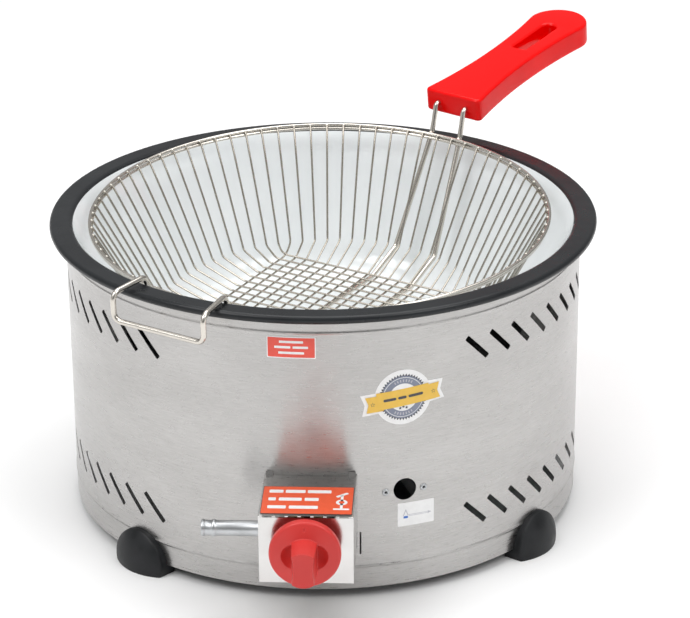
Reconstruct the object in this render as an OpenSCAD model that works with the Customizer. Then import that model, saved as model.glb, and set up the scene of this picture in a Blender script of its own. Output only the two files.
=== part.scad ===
// Countertop gas deep fryer: round steel casing on four feet, enamelled pan,
// lift-out wire basket with a hanging hook, gas tap under a sheet cover, ring burner.
// Millimetres, +Z up, standing plane at z = 0, the knob side faces -Y.
// Angles round the casing are measured from the knob side, positive towards +X.

/* [Casing] */
// Outside diameter of the steel casing
casing_d = 376.8; // [375:0.2:378]
// Thickness of the casing sheet
sheet_t = 0.8; // [0.6:0.1:1]
// Gap between the bench and the lower edge of the casing
ground_gap = 8; // [6:0.5:9]
// Height of the upper edge of the casing
casing_top = 218.1; // [216:0.1:218.1]
// Vent slots in each row on each side
vent_count = 8; // [2:1:9]
// Angle between neighbouring vent slots, degrees
vent_pitch = 6.3; // [5.8:0.1:6.6]
// Length of a vent slot
vent_len = 25.4; // [20:0.2:28]
// Width of a vent slot
vent_w = 4; // [3:0.5:5]

/* [Feet] */
// Width of a foot along the casing
foot_w = 47; // [42:1:52]
// Height of a foot above the bench
foot_h = 29.5; // [26:0.5:33]
// Reach of a foot beyond the casing
foot_reach = 13; // [11:0.5:15]

/* [Pan] */
// Diameter over the rolled rim
pan_rim_d = 400; // [398:0.5:404]
// Inside height of the pan floor above the bench
pan_floor_z = 113; // [111:0.5:114]
// Slope of the pan wall from the vertical, degrees
pan_slope = 24; // [22:0.5:26]
// Thickness of the enamelled sheet
pan_t = 1.2; // [1:0.1:1.2]

/* [Basket] */
// Wires in each of the two crossing sets
wire_count = 20; // [12:2:22]
// Diameter of the basket wires
wire_d = 1.6; // [1.4:0.1:2]
// Diameter of the handle and hook wires
frame_wire_d = 4; // [3.6:0.1:4.4]
// Radius of the top ring, on the wire centre
ring_r = 168; // [166:0.5:168]
// Depth from the top ring down to the crossing grid
basket_depth = 90.3; // [88:0.1:92]
// Rise of the basket towards the back, degrees
tilt_back = 3.2; // [2.8:0.1:3.4]
// Rise of the basket towards the right, degrees
tilt_side = 0.6; // [0.4:0.1:0.8]
// Direction of the basket handle where it leaves the ring, degrees
handle_az = 148; // [140:1:156]
// Turn of the crossing grid and the hook against the handle, degrees
weave_turn = 3.7; // [0:0.1:5]

/* [Handle grip] */
// Length of the plastic grip
grip_len = 175; // [168:1:185]
// Width of the grip at the wire end
grip_w = 53; // [50:1:54]
// Thickness of the grip
grip_t = 18.5; // [16:0.5:20]

/* [Gas tap] */
// Height of the knob axis
knob_z = 75; // [73:0.5:76]
// Diameter of the knob
knob_d = 48.6; // [44:0.2:50]
// Distance from the casing axis to the front of the cover
cover_front = 250; // [249:0.5:252]
// Width of the cover
cover_w = 64; // [63:0.5:66]
// Height of the top of the cover
cover_top = 96.7; // [96:0.1:98]

/* [Burner] */
// Diameter of the burner cap
burner_d = 124; // [116:1:130]
// Flame ports in the outer ring of the cap
port_count = 32; // [24:2:36]

/* [Hidden] */
$fn = 96;

over = 1;
touch = 0.05;
casing_r = casing_d / 2;
casing_in = casing_r - sheet_t;

// casing details
hem_r = 1.2;
crease_zs = [25, 203];
crease_r = 1.2;
crease_proud = 0.6;
seam_half = 2.2;
seam_zs = [30, 198];
cut_half = 6;
vent_first = 37;
vent_zs = [51, 178];
vent_slant = 45;
light_az = 20;
light_z = 81.7;
light_d = 16.5;
rivet_step = 4.2;
rivet_z = 81;
rivet_d = 3.2;
tap_hole_d = 40;
tab_slot = [33.3, 34.5, 34.7, 51.9];

// feet
foot_azs = [-41, 55.5, 139, 235.5];
foot_in = 8;
foot_dome = 40;
foot_mid_z = 6;
foot_gap = 0.1;
foot_past = 4;
foot_dome_drop = 2;

// pan
rim_r = pan_rim_d / 2;
roll_r = 3;
roll_z = 216.6;
flange_z = roll_z + roll_r;
throat_r = 4.5;
throat_c = [187, flange_z - throat_r];
floor_r = 30;
arc_steps = 8;
wall_top = throat_c + throat_r * [cos(180 - pan_slope), sin(180 - pan_slope)];
floor_turn_z = pan_floor_z + floor_r * (1 - sin(pan_slope));
floor_cx = wall_top[0] - (wall_top[1] - floor_turn_z) * tan(pan_slope) - floor_r * cos(pan_slope);

// basket, measured in its own frame: +Y to the handle, z = 0 at the top ring
basket_at = [-2.5, -3.2, 219.7];
ring_wire_d = 2.6;
lower_wire_d = 2.4;
lower_drop = 2.6;
wall_r = ring_r - ring_wire_d / 2 - wire_d / 2 - touch;
knee_r = 124;
knee_drop = 80;
wall_lean = (wall_r - knee_r) / knee_drop;
lower_r = wall_r - wall_lean * lower_drop
    + ((wire_d + lower_wire_d) / 2 + 2 * touch) * sqrt(1 + wall_lean * wall_lean);
wire_step = 90 / wire_count;
grid_half = 88.4;
grid_pitch = 2 * grid_half / (wire_count - 1);
grid_over = 2;
cross_z = -basket_depth;
long_z = cross_z - wire_d - touch;
under_z = long_z - wire_d / 2 - frame_wire_d / 2 - touch;
wire_bend = 3;
frame_gap = 0.9;
frame_r = ring_r + (ring_wire_d + frame_wire_d) / 2 + frame_gap;
floor_gap = 0.6;
frame_off = (wire_d + frame_wire_d) / 2 + floor_gap;
lap = 0.25;

// handle and hook
handle_half = 12.7;
handle_half_low = 18;
handle_entry = [180.9, 22];
handle_bend = 3.5;
bend_clear = 2.9;
grip_rise = 5.5;
grip_turn = -2.1;
grip_waist = 37.6;
grip_waist_at = 80;
grip_end_r = 25;
grip_bore_d = frame_wire_d + 0.1;
grip_bore_len = 55;
hang_slot = [94, 145, 12.5];
hook_half = 36.6;
hook_half_in = 32.8;
hook_leg = 38;
hook_top = 14.1;
hook_drop = 20.2;
hook_reach = 209;
hook_bend = 6;

// printed films, and the space they keep from what they are stuck on
film_t = 0.3;

// gas tap
cover_bottom = 46.5;
cover_t = 0.8;
perf_count = 7;
perf_pitch = 8.6;
perf_len = 6.6;
perf_w = 0.9;
knob_back = 257;
knob_r = knob_d / 2;
plug_y = [208, 230];
plug_r = [6.4, 8];
spindle_r = 4;
spindle_tip = 268;
run_gap = 0.06;
body_y = [204, 236];
body_r = 13;
bonnet_size = [38, 22, 2.5];
bonnet_screw_x = 15;
screw_r = 1.9;
screw_hole_r = 1.95;
inlet_y = 226;
nipple_r = 5.35;
nipple_ring_r = 5.9;
nipple_tip = 72.4;
nipple_bore_r = 3;
outlet_y = 180;

// burner
burner_r = burner_d / 2;
bowl_top = 86;
cap_top = 93;
strap_z = 58;
strap_t = 2;
strap_w = 30;
flange_half = 6.3;
flange_h = 36;
bolt_r = 4;
mouth_y = 168;
bolt_hole_r = bolt_r + 0.2;
head_r = 7.4;
seat_z = 91;

module ring_band(r0, r1, z0, z1) {
    difference() {
        translate([0, 0, z0]) cylinder(r = r1, h = z1 - z0);
        translate([0, 0, z0 - over]) cylinder(r = r0, h = z1 - z0 + 2 * over);
    }
}

module sector(az, half, r0, r1, z0, z1) {
    rotate([0, 0, az - 90 - half])
        rotate_extrude(angle = 2 * half)
            translate([r0, z0]) square([r1 - r0, z1 - z0]);
}

module radial_rod(az, z, r0, r1, d) {
    rotate([0, 0, az]) translate([0, -r0, z]) rotate([90, 0, 0]) cylinder(d = d, h = r1 - r0);
}

module on_axis(y) {
    translate([0, -y, knob_z]) rotate([90, 0, 0]) children();
}

module on_inlet(x) {
    translate([-x, -inlet_y, knob_z]) rotate([0, -90, 0]) children();
}

module rod(a, b, d) {
    v = b - a;
    span = norm(v);
    translate(a) rotate([0, acos(v[2] / span), atan2(v[1], v[0])]) cylinder(d = d, h = span);
}

function unit(v) = v / norm(v);
function setback(a, p, b, r) = r * tan(acos(unit(p - a) * unit(b - p)) / 2) - lap;

module elbow(a, p, b, d, r) {
    u = unit(p - a);
    v = unit(b - p);
    turn = acos(u * v);
    n = unit(v - (u * v) * u);
    w = cross(-n, u);
    c = p - u * r * tan(turn / 2) + n * r;
    multmatrix([[-n[0], u[0], w[0], c[0]], [-n[1], u[1], w[1], c[1]],
        [-n[2], u[2], w[2], c[2]], [0, 0, 0, 1]])
        rotate_extrude(angle = turn) translate([r, 0]) circle(d = d + 2 * touch);
}

// a round wire through the points of a path, each inner point bent to radius r
module wire(path, d, r) {
    last = len(path) - 1;
    cut = [for (i = [0 : last])
        i == 0 || i == last ? 0 : setback(path[i - 1], path[i], path[i + 1], r)];
    for (i = [0 : last - 1]) {
        along = unit(path[i + 1] - path[i]);
        rod(path[i] + cut[i] * along, path[i + 1] - cut[i + 1] * along, d);
    }
    for (i = [1 : last - 1]) elbow(path[i - 1], path[i], path[i + 1], d, r);
}

function mirror_x(path) = [for (i = [len(path) - 1 : -1 : 0]) [-path[i][0], path[i][1], path[i][2]]];

module in_basket() {
    translate(basket_at)
        rotate([tilt_back, -tilt_side, 0])
            rotate([0, 0, handle_az - 180])
                children();
}

module casing_shell() {
    color("silver")
    difference() {
        union() {
            ring_band(casing_in, casing_r, ground_gap, casing_top - hem_r);
            translate([0, 0, casing_top - hem_r])
                rotate_extrude() translate([casing_r - sheet_t / 2, 0]) circle(r = hem_r);
            for (z = crease_zs)
                translate([0, 0, z])
                    rotate_extrude() translate([casing_r + crease_proud - crease_r, 0])
                        circle(r = crease_r);
            sector(180, seam_half, casing_r - sheet_t / 2, casing_r + sheet_t, seam_zs[0], seam_zs[1]);
        }
        for (z = vent_zs, side = [-1, 1], i = [0 : vent_count - 1])
            rotate([0, 0, side * (vent_first + i * vent_pitch)])
                translate([0, -casing_r, z])
                    rotate([0, vent_slant, 0])
                        cube([vent_len, 2 * cut_half, vent_w], center = true);
        radial_rod(light_az, light_z, casing_r - cut_half, casing_r + cut_half, light_d);
        for (az = [light_az, light_az + 180], s = [-1, 1])
            radial_rod(az + s * rivet_step, rivet_z, casing_r - cut_half, casing_r + cut_half, rivet_d);
        radial_rod(0, knob_z, casing_r - cut_half, casing_r + cut_half, tap_hole_d);
        for (s = [-1, 1])
            translate([s * (tab_slot[0] + tab_slot[1]) / 2, -casing_r, (tab_slot[2] + tab_slot[3]) / 2])
                cube([tab_slot[1] - tab_slot[0], 3 * cut_half, tab_slot[3] - tab_slot[2]], center = true);
    }
}

module foot(az) {
    color("dimgray")
    difference() {
        rotate([0, 0, az])
            intersection() {
                translate([0, -casing_in + foot_in, foot_mid_z])
                    rotate([90, 0, 0])
                        cylinder(r = foot_w / 2, h = foot_in + foot_reach + foot_past);
                translate([0, -(casing_r + foot_reach - foot_dome), foot_mid_z - foot_dome_drop])
                    sphere(r = foot_dome);
                translate([-foot_w, -casing_r - foot_dome, 0])
                    cube([2 * foot_w, 2 * foot_dome, foot_h]);
            }
        ring_band(casing_in - foot_gap, casing_r + foot_gap, ground_gap - foot_gap, 2 * foot_h);
        translate([0, 0, crease_zs[0]])
            rotate_extrude() translate([casing_r + crease_proud - crease_r, 0])
                circle(r = crease_r + foot_gap);
    }
}

module foot_front_left() { foot(foot_azs[0]); }
module foot_front_right() { foot(foot_azs[1]); }
module foot_rear_right() { foot(foot_azs[2]); }
module foot_rear_left() { foot(foot_azs[3]); }

module valve_cover() {
    depth = 80;
    tab = [5, 0.9, 3.4];
    tab_y = 187.6;
    hole_h = 6;
    spindle_room = 2;
    nipple_room = 0.4;
    color("gainsboro")
    difference() {
        union() {
            difference() {
                translate([-cover_w / 2, -cover_front, cover_bottom])
                    cube([cover_w, depth, cover_top - cover_bottom]);
                translate([cover_t - cover_w / 2, cover_t - cover_front, cover_bottom - over])
                    cube([cover_w - 2 * cover_t, depth, cover_top - cover_bottom + over - cover_t]);
                cylinder(r = casing_r + touch, h = 2 * cover_top);
            }
            for (s = [-1, 1])
                translate([s * (cover_w - tab[0]) / 2 - tab[0] / 2, -tab_y, cover_top - cover_t])
                    cube(tab);
        }
        on_axis(cover_front - hole_h / 2) cylinder(r = spindle_r + spindle_room, h = hole_h);
        on_inlet((cover_w - hole_h) / 2) cylinder(r = nipple_ring_r + nipple_room, h = hole_h);
        for (i = [0 : perf_count - 1])
            translate([(i - (perf_count - 1) / 2) * perf_pitch, -cover_front, cover_top])
                rotate([45, 0, 0]) cube([perf_len, perf_w, hole_h / 2], center = true);
    }
}

module cover_label() {
    side_in = 1;
    front_in = 3.5;
    label_depth = 40.5;
    color("orangered")
    translate([side_in - cover_w / 2, front_in - cover_front, cover_top + touch])
        cube([cover_w - 2 * side_in, label_depth, film_t]);
}

module caution_label() {
    az = -3.7;
    half = 5.1;
    zs = [184.5, 200.3];
    color("tomato")
    sector(az, half, casing_r + touch, casing_r + touch + film_t, zs[0], zs[1]);
}

module match_label() {
    az = 22.5;
    half = 4.1;
    zs = [53, 71];
    color("white")
    sector(az, half, casing_r + touch, casing_r + touch + film_t, zs[0], zs[1]);
}

module quality_seal() {
    az = 19.6;
    z = 152;
    disc_r = 19;
    teeth = 28;
    tooth = [18.8, 1.9];
    ribbon = [59, 12];
    ribbon_turn = 16;
    room = 30;
    half = 12;
    color("lightsteelblue")
    intersection() {
        sector(az, half, casing_r + touch, casing_r + touch + film_t, z - room, z + room);
        rotate([0, 0, az])
            translate([0, room - casing_r, z])
                rotate([90, 0, 0])
                    linear_extrude(2 * room) {
                        circle(r = disc_r);
                        for (i = [0 : teeth - 1])
                            rotate([0, 0, i * 360 / teeth])
                                translate([tooth[0], 0]) circle(r = tooth[1], $fn = 24);
                        rotate([0, 0, ribbon_turn]) square(ribbon, center = true);
                    }
    }
}

module valve_body() {
    plate_t = 5;
    neck_r = 7;
    arm_r = 8;
    arm = [8, 24];
    well_r = 9;
    jet_r = 3;
    root = 4;
    bore_h = 30;
    color("goldenrod")
    difference() {
        union() {
            on_axis(body_y[0]) cylinder(r = body_r, h = body_y[1] - body_y[0]);
            translate([-bonnet_size[0] / 2, -body_y[1], knob_z - bonnet_size[1] / 2])
                cube([bonnet_size[0], plate_t, bonnet_size[1]]);
            on_axis(outlet_y) cylinder(r = neck_r, h = body_y[0] - outlet_y + root);
            on_inlet(arm[0]) cylinder(r = arm_r, h = arm[1] - arm[0]);
        }
        on_axis(plug_y[0] - 1) cylinder(r = plug_r[0] - 1, h = root);
        on_axis(plug_y[0])
            cylinder(r1 = plug_r[0] + run_gap, r2 = plug_r[1] + run_gap, h = plug_y[1] - plug_y[0]);
        on_axis(plug_y[1] - touch) cylinder(r = well_r, h = body_y[1] - plug_y[1] + over);
        on_axis(outlet_y - over) cylinder(r = jet_r, h = plug_y[0] - outlet_y + 2 * over);
        on_inlet(0) cylinder(r = nipple_bore_r, h = bore_h);
        for (s = [-1, 1])
            translate([s * bonnet_screw_x, -body_y[1] - over, knob_z])
                rotate([-90, 0, 0]) cylinder(r = screw_hole_r, h = 8);
    }
}

module valve_bonnet() {
    hole_h = 8;
    color("darkkhaki")
    difference() {
        translate([-bonnet_size[0] / 2, -body_y[1] - bonnet_size[2] - touch, knob_z - bonnet_size[1] / 2])
            cube([bonnet_size[0], bonnet_size[2], bonnet_size[1]]);
        on_axis(body_y[1] - over) cylinder(r = spindle_r + run_gap, h = hole_h);
        for (s = [-1, 1])
            translate([s * bonnet_screw_x, 0, 0])
                on_axis(body_y[1] - over) cylinder(r = screw_hole_r, h = hole_h);
    }
}

module bonnet_screws() {
    head_y = body_y[1] + bonnet_size[2] + 2 * touch;
    screw_head_r = 3.4;
    head_h = 2.4;
    shank = 7;
    slot = [8, 1.6, 0.9];
    color("darkgray")
    for (s = [-1, 1])
        translate([s * bonnet_screw_x, 0, 0])
            difference() {
                union() {
                    on_axis(head_y) cylinder(r = screw_head_r, h = head_h);
                    on_axis(head_y - shank) cylinder(r = screw_r, h = shank + head_h / 4);
                }
                translate([0, -head_y - head_h, knob_z]) cube(slot, center = true);
            }
}

module gas_inlet_nipple() {
    hex_r = 8;
    hex_h = 6;
    start = 24 + touch;
    ribs = [[10, 3], [2.2, 2.2]];
    color("lightgray")
    difference() {
        union() {
            on_inlet(start) cylinder(r = hex_r, h = hex_h, $fn = 6);
            on_inlet(start) cylinder(r = nipple_r, h = nipple_tip - start);
            for (rib = ribs)
                on_inlet(nipple_tip - rib[0]) cylinder(r = nipple_ring_r, h = rib[1]);
        }
        on_inlet(start - 4 * over) cylinder(r = nipple_bore_r, h = nipple_tip);
    }
}

module injector() {
    hex = [6.4, 6];
    nose = [3, 5, 4.2];
    nose_y = outlet_y - 10 - touch;
    jet_r = 0.6;
    bore_r = 3;
    color("gold")
    difference() {
        union() {
            on_axis(outlet_y - hex[1] - touch) cylinder(r = hex[0], h = hex[1], $fn = 6);
            on_axis(nose_y) cylinder(r1 = nose[0], r2 = nose[1], h = nose[2]);
        }
        on_axis(nose_y - 2) cylinder(r = jet_r, h = hex[1] + over);
        on_axis(outlet_y - hex[1]) cylinder(r = bore_r, h = hex[1] + 2);
    }
}

module burner_casting() {
    boss_z = strap_z + strap_t + touch;
    boss_r = 11;
    bowl = [[0, 62], [30, 62], [burner_r - 4, 78], [burner_r - 2, bowl_top],
        [burner_r - 5.5, bowl_top], [burner_r - 7, 80.5], [28, 66], [0, 66]];
    tube_y = [40, 130, 150];
    outer = [10, 13, 18];
    inner = [7, 9.5, 15];
    window = [10, 9, 9];
    window_y = 159;
    gas_room = [boss_r, 26, 70];
    flare = tube_y[2] - tube_y[1];
    color("dimgray")
    difference() {
        union() {
            rotate_extrude() polygon(bowl);
            translate([0, 0, boss_z]) cylinder(r = boss_r, h = bowl_top - boss_z);
            on_axis(tube_y[0]) cylinder(r1 = outer[0], r2 = outer[1], h = tube_y[1] - tube_y[0]);
            on_axis(tube_y[1] - touch) cylinder(r1 = outer[1], r2 = outer[2], h = flare);
            on_axis(tube_y[2] - 2 * touch) cylinder(r = outer[2], h = mouth_y - tube_y[2]);
        }
        on_axis(tube_y[0] - 10) cylinder(r1 = inner[0], r2 = inner[1], h = tube_y[1] - tube_y[0] + 10.2);
        on_axis(tube_y[1]) cylinder(r1 = inner[1], r2 = inner[2], h = flare + 2 * touch);
        on_axis(tube_y[2]) cylinder(r = inner[2], h = mouth_y);
        for (a = [45 : 90 : 315])
            on_axis(window_y)
                rotate([0, 0, a]) translate([outer[2] - 2, 0, 0]) cube(window, center = true);
        translate([0, 0, strap_z]) cylinder(r = bolt_hole_r, h = 60);
        translate([0, 0, gas_room[2]]) ring_band(gas_room[0], gas_room[1], 0, bowl_top);
    }
}

module burner_cap() {
    port_r = 1.4;
    port_h = 12;
    port_rings = [[port_count, burner_r - 12], [port_count / 2, 30]];
    rim_z = 88.5;
    gas_room = [12, burner_r - 6, 4];
    profile = [[bolt_hole_r, bowl_top + touch], [burner_r, bowl_top + touch], [burner_r, rim_z],
        [burner_r - 5, cap_top], [24, cap_top], [16, seat_z], [bolt_hole_r, seat_z]];
    color("dimgray")
    difference() {
        rotate_extrude() polygon(profile);
        translate([0, 0, bowl_top - over]) ring_band(gas_room[0], gas_room[1], 0, over + gas_room[2]);
        for (ring = port_rings, i = [0 : ring[0] - 1])
            rotate([0, 0, i * 360 / ring[0]])
                translate([ring[1], 0, bowl_top]) cylinder(r = port_r, h = port_h, $fn = 24);
    }
}

module burner_bracket() {
    plate_out = casing_in - touch;
    end_t = 1.2;
    hole_room = 1.5;
    cut = [casing_r - 8, casing_r + 2];
    color("darkgray")
    difference() {
        union() {
            intersection() {
                rotate([0, 0, light_az])
                    translate([-strap_w / 2, -casing_r, strap_z]) cube([strap_w, casing_d, strap_t]);
                translate([0, 0, strap_z - over]) cylinder(r = plate_out, h = strap_t + 2 * over);
            }
            for (az = [light_az, light_az + 180])
                sector(az, flange_half, plate_out - end_t, plate_out, strap_z, strap_z + flange_h);
        }
        radial_rod(light_az, light_z, cut[0], cut[1], light_d + hole_room);
        for (az = [light_az, light_az + 180], s = [-1, 1])
            radial_rod(az + s * rivet_step, rivet_z, cut[0], cut[1], rivet_d);
        translate([0, 0, strap_z - over]) cylinder(r = bolt_hole_r, h = strap_t + 2 * over);
    }
}

module bracket_rivets() {
    shank = rivet_d - 2 * touch;
    back = casing_r - 4.5;
    front = casing_r + 1;
    head_d = 5.4;
    tail = [casing_r - 2.4, 4.6];
    hollow_d = 1.8;
    color("lightgray")
    for (az = [light_az, light_az + 180], s = [-1, 1], a = [az + s * rivet_step])
        difference() {
            union() {
                radial_rod(a, rivet_z, back, front - 0.5, shank);
                radial_rod(a, rivet_z, casing_r + touch, front, head_d);
                radial_rod(a, rivet_z, back, tail[0], tail[1]);
            }
            radial_rod(a, rivet_z, casing_r - 3, casing_r + 4, hollow_d);
        }
}

module burner_bolt() {
    head_h = 5.5;
    bolt_top = 96.5;
    color("darkgray") {
        translate([0, 0, strap_z - head_h - touch]) cylinder(r = head_r, h = head_h, $fn = 6);
        translate([0, 0, strap_z - 1]) cylinder(r = bolt_r, h = bolt_top - strap_z + 1);
    }
}

module burner_nut() {
    nut_h = 5;
    color("darkgray")
    difference() {
        translate([0, 0, seat_z + touch]) cylinder(r = head_r, h = nut_h, $fn = 6);
        translate([0, 0, seat_z - 1]) cylinder(r = bolt_r + touch, h = nut_h + 3);
    }
}

module knob() {
    face_z = 9.2;
    disc = [[0, 0], [knob_r - 1.6, 0], [knob_r, 1.6], [knob_r, 5.2], [knob_r - 0.8, 6.4],
        [13.5, face_z], [0, face_z]];
    bar_z = [3, 29.5];
    waist_r = [48.55, 50];
    waist_x = 56.45;
    tip_r = [13.6, 12.7];
    dish_r = 11.05;
    dish_at = [7.5, face_z + 6.55];
    mark = [0.9, 3, 1.4];
    mark_at = [0, 19.5, 7.6];
    bore_h = spindle_tip - knob_back + over + 0.5;
    color("crimson")
    on_axis(knob_back)
        difference() {
            union() {
                difference() {
                    rotate_extrude()
                        polygon(disc);
                    for (s = [-1, 1])
                        translate([s * dish_at[0], 0, dish_at[1]]) sphere(r = dish_r);
                }
                difference() {
                    translate([0, 0, bar_z[0]])
                        cylinder(r1 = tip_r[0], r2 = tip_r[1], h = bar_z[1] - bar_z[0]);
                    for (s = [-1, 1])
                        translate([s * waist_x, 0, bar_z[0]])
                            cylinder(r1 = waist_r[0], r2 = waist_r[1], h = bar_z[1] - bar_z[0]);
                }
            }
            translate(mark_at) cube(mark, center = true);
            translate([0, 0, -over]) cylinder(r = spindle_r + touch, h = bore_h);
        }
}

module valve_plug() {
    seat_gap = 0.5;
    way = [3, 14];
    port = [2.6, 12];
    color("goldenrod")
    difference() {
        union() {
            on_axis(plug_y[0] + seat_gap)
                cylinder(r1 = plug_r[0], r2 = plug_r[1], h = plug_y[1] - plug_y[0] - seat_gap);
            on_axis(plug_y[1] - over) cylinder(r = spindle_r, h = spindle_tip - plug_y[1] + over);
        }
        on_axis(plug_y[0] - over) cylinder(r = way[0], h = way[1]);
        on_inlet(-over) cylinder(r = port[0], h = port[1]);
    }
}

module valve_spring() {
    turns = 2;
    steps = 9;
    coil_r = 6.4;
    coil_len = 4.4;
    seat = 0.7;
    coil_wire_d = 1;
    coil_bend = 5;
    total = turns * steps;
    path = [for (i = [0 : total]) [coil_r * cos(i * 360 / steps), coil_r * sin(i * 360 / steps),
        plug_y[1] + seat + i * coil_len / total]];
    color("gray")
    translate([0, 0, knob_z]) rotate([90, 0, 0]) wire(path, coil_wire_d, coil_bend);
}

module pan() {
    inner = concat(
        [for (i = [0 : arc_steps]) let (a = 90 + i * (90 - pan_slope) / arc_steps)
            throat_c + throat_r * [cos(a), sin(a)]],
        [for (i = [0 : arc_steps]) let (a = -pan_slope - i * (90 - pan_slope) / arc_steps)
            [floor_cx, pan_floor_z + floor_r] + floor_r * [cos(a), sin(a)]],
        [[0, pan_floor_z]]);
    outer = concat(
        [[0, pan_floor_z - pan_t]],
        [for (i = [arc_steps : -1 : 0]) let (a = -pan_slope - i * (90 - pan_slope) / arc_steps)
            [floor_cx, pan_floor_z + floor_r] + (floor_r + pan_t) * [cos(a), sin(a)]],
        [for (i = [arc_steps : -1 : 0]) let (a = 90 + i * (90 - pan_slope) / arc_steps)
            throat_c + (throat_r - pan_t) * [cos(a), sin(a)]]);
    color("whitesmoke") {
        rotate_extrude() polygon(concat([[rim_r - roll_r, flange_z]], inner, outer,
            [[rim_r - roll_r, flange_z - pan_t]]));
        translate([0, 0, roll_z]) rotate_extrude() translate([rim_r - roll_r, 0]) circle(r = roll_r);
    }
}

module basket_top_ring() {
    color("tan") in_basket() rotate_extrude() translate([ring_r, 0]) circle(d = ring_wire_d);
}

module basket_lower_ring() {
    color("tan") in_basket()
        translate([0, 0, -lower_drop]) rotate_extrude() translate([lower_r, 0]) circle(d = lower_wire_d);
}

function wall_point(r, phi, z) = [r * sin(phi), r * cos(phi), z];
function basket_wire(i, level) = let (phi = (i - (wire_count - 1) / 2) * wire_step,
    s = (i - (wire_count - 1) / 2) * grid_pitch, edge = grid_half + grid_over)
    [wall_point(wall_r, phi, 0), wall_point(knee_r, phi, -knee_drop),
    [s, edge, level], [s, -edge, level],
    wall_point(-knee_r, -phi, -knee_drop), wall_point(-wall_r, -phi, 0)];

module wire_set(level) {
    for (i = [0 : wire_count - 1]) wire(basket_wire(i, level), wire_d, wire_bend);
}

module basket_wires_long() {
    color("tan") in_basket() rotate([0, 0, weave_turn]) wire_set(long_z);
}

module basket_wires_cross() {
    color("tan") in_basket() rotate([0, 0, weave_turn + 90]) wire_set(cross_z);
}

// a point of the handle in the basket's frame: x across the grip, y along it
function grip_point(x, y) = [x * cos(grip_turn) - y * cos(grip_rise) * sin(grip_turn),
    handle_entry[0] + x * sin(grip_turn) + y * cos(grip_rise) * cos(grip_turn),
    handle_entry[1] + y * sin(grip_rise)];

module basket_handle_wire() {
    at_ring = sqrt(frame_r * frame_r - handle_half * handle_half);
    low_r = knee_r + frame_off;
    at_knee = sqrt(low_r * low_r - handle_half_low * handle_half_low);
    wire_short = 5;
    knee_past = 2;
    floor_past = 4;
    end_in = 22;
    function side(s) = [grip_point(s * handle_half, grip_bore_len - wire_short),
        grip_point(s * handle_half, -bend_clear),
        [s * handle_half, at_ring, 0],
        [s * handle_half_low, at_knee, -knee_drop - knee_past],
        [s * handle_half_low, grid_half + floor_past, under_z],
        [s * handle_half_low, end_in - grid_half, under_z]];
    back = side(-1);
    color("tan") in_basket()
        wire(concat(side(1), [for (i = [len(back) - 1 : -1 : 0]) back[i]]), frame_wire_d, handle_bend);
}

module basket_rest_hook() {
    at_ring = -sqrt(frame_r * frame_r - hook_half_in * hook_half_in);
    side = [[hook_half_in, at_ring + hook_leg * wall_lean, -hook_leg],
        [hook_half_in, at_ring - wall_lean * hook_top, hook_top],
        [hook_half, -hook_reach, hook_top],
        [hook_half, -hook_reach, hook_top - hook_drop]];
    color("tan") in_basket() rotate([0, 0, weave_turn])
        wire(concat(side, mirror_x(side)), frame_wire_d, hook_bend);
}

module basket_handle_grip() {
    side_r = 447;
    end_y = grip_len - grip_end_r;
    color("red")
    in_basket()
        translate([0, handle_entry[0], handle_entry[1]])
            rotate([grip_rise, 0, grip_turn])
                difference() {
                    translate([0, 0, -grip_t / 2])
                        linear_extrude(grip_t)
                            difference() {
                                union() {
                                    difference() {
                                        translate([-grip_w / 2, 0]) square([grip_w, end_y]);
                                        for (s = [-1, 1])
                                            translate([s * (grip_waist / 2 + side_r), grip_waist_at])
                                                circle(r = side_r, $fn = 360);
                                    }
                                    translate([0, end_y]) circle(r = grip_end_r);
                                }
                                translate([-hang_slot[2] / 2, hang_slot[0] + hang_slot[2] / 2])
                                    square([hang_slot[2], hang_slot[1] - hang_slot[0] - hang_slot[2]]);
                                for (y = [hang_slot[0] + hang_slot[2] / 2, hang_slot[1] - hang_slot[2] / 2])
                                    translate([0, y]) circle(d = hang_slot[2]);
                            }
                    for (s = [-1, 1])
                        translate([s * handle_half, -over, 0])
                            rotate([-90, 0, 0]) cylinder(d = grip_bore_d, h = grip_bore_len + over);
                }
}

casing_shell();
foot_front_left();
foot_front_right();
foot_rear_right();
foot_rear_left();
valve_cover();
cover_label();
caution_label();
quality_seal();
match_label();
valve_body();
valve_bonnet();
bonnet_screws();
gas_inlet_nipple();
injector();
burner_casting();
burner_cap();
burner_bracket();
bracket_rivets();
burner_bolt();
burner_nut();
knob();
valve_plug();
valve_spring();
pan();
basket_top_ring();
basket_lower_ring();
basket_wires_long();
basket_wires_cross();
basket_handle_wire();
basket_rest_hook();
basket_handle_grip();
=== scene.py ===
import math

import bmesh
import bpy
from mathutils import Matrix, Vector


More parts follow.
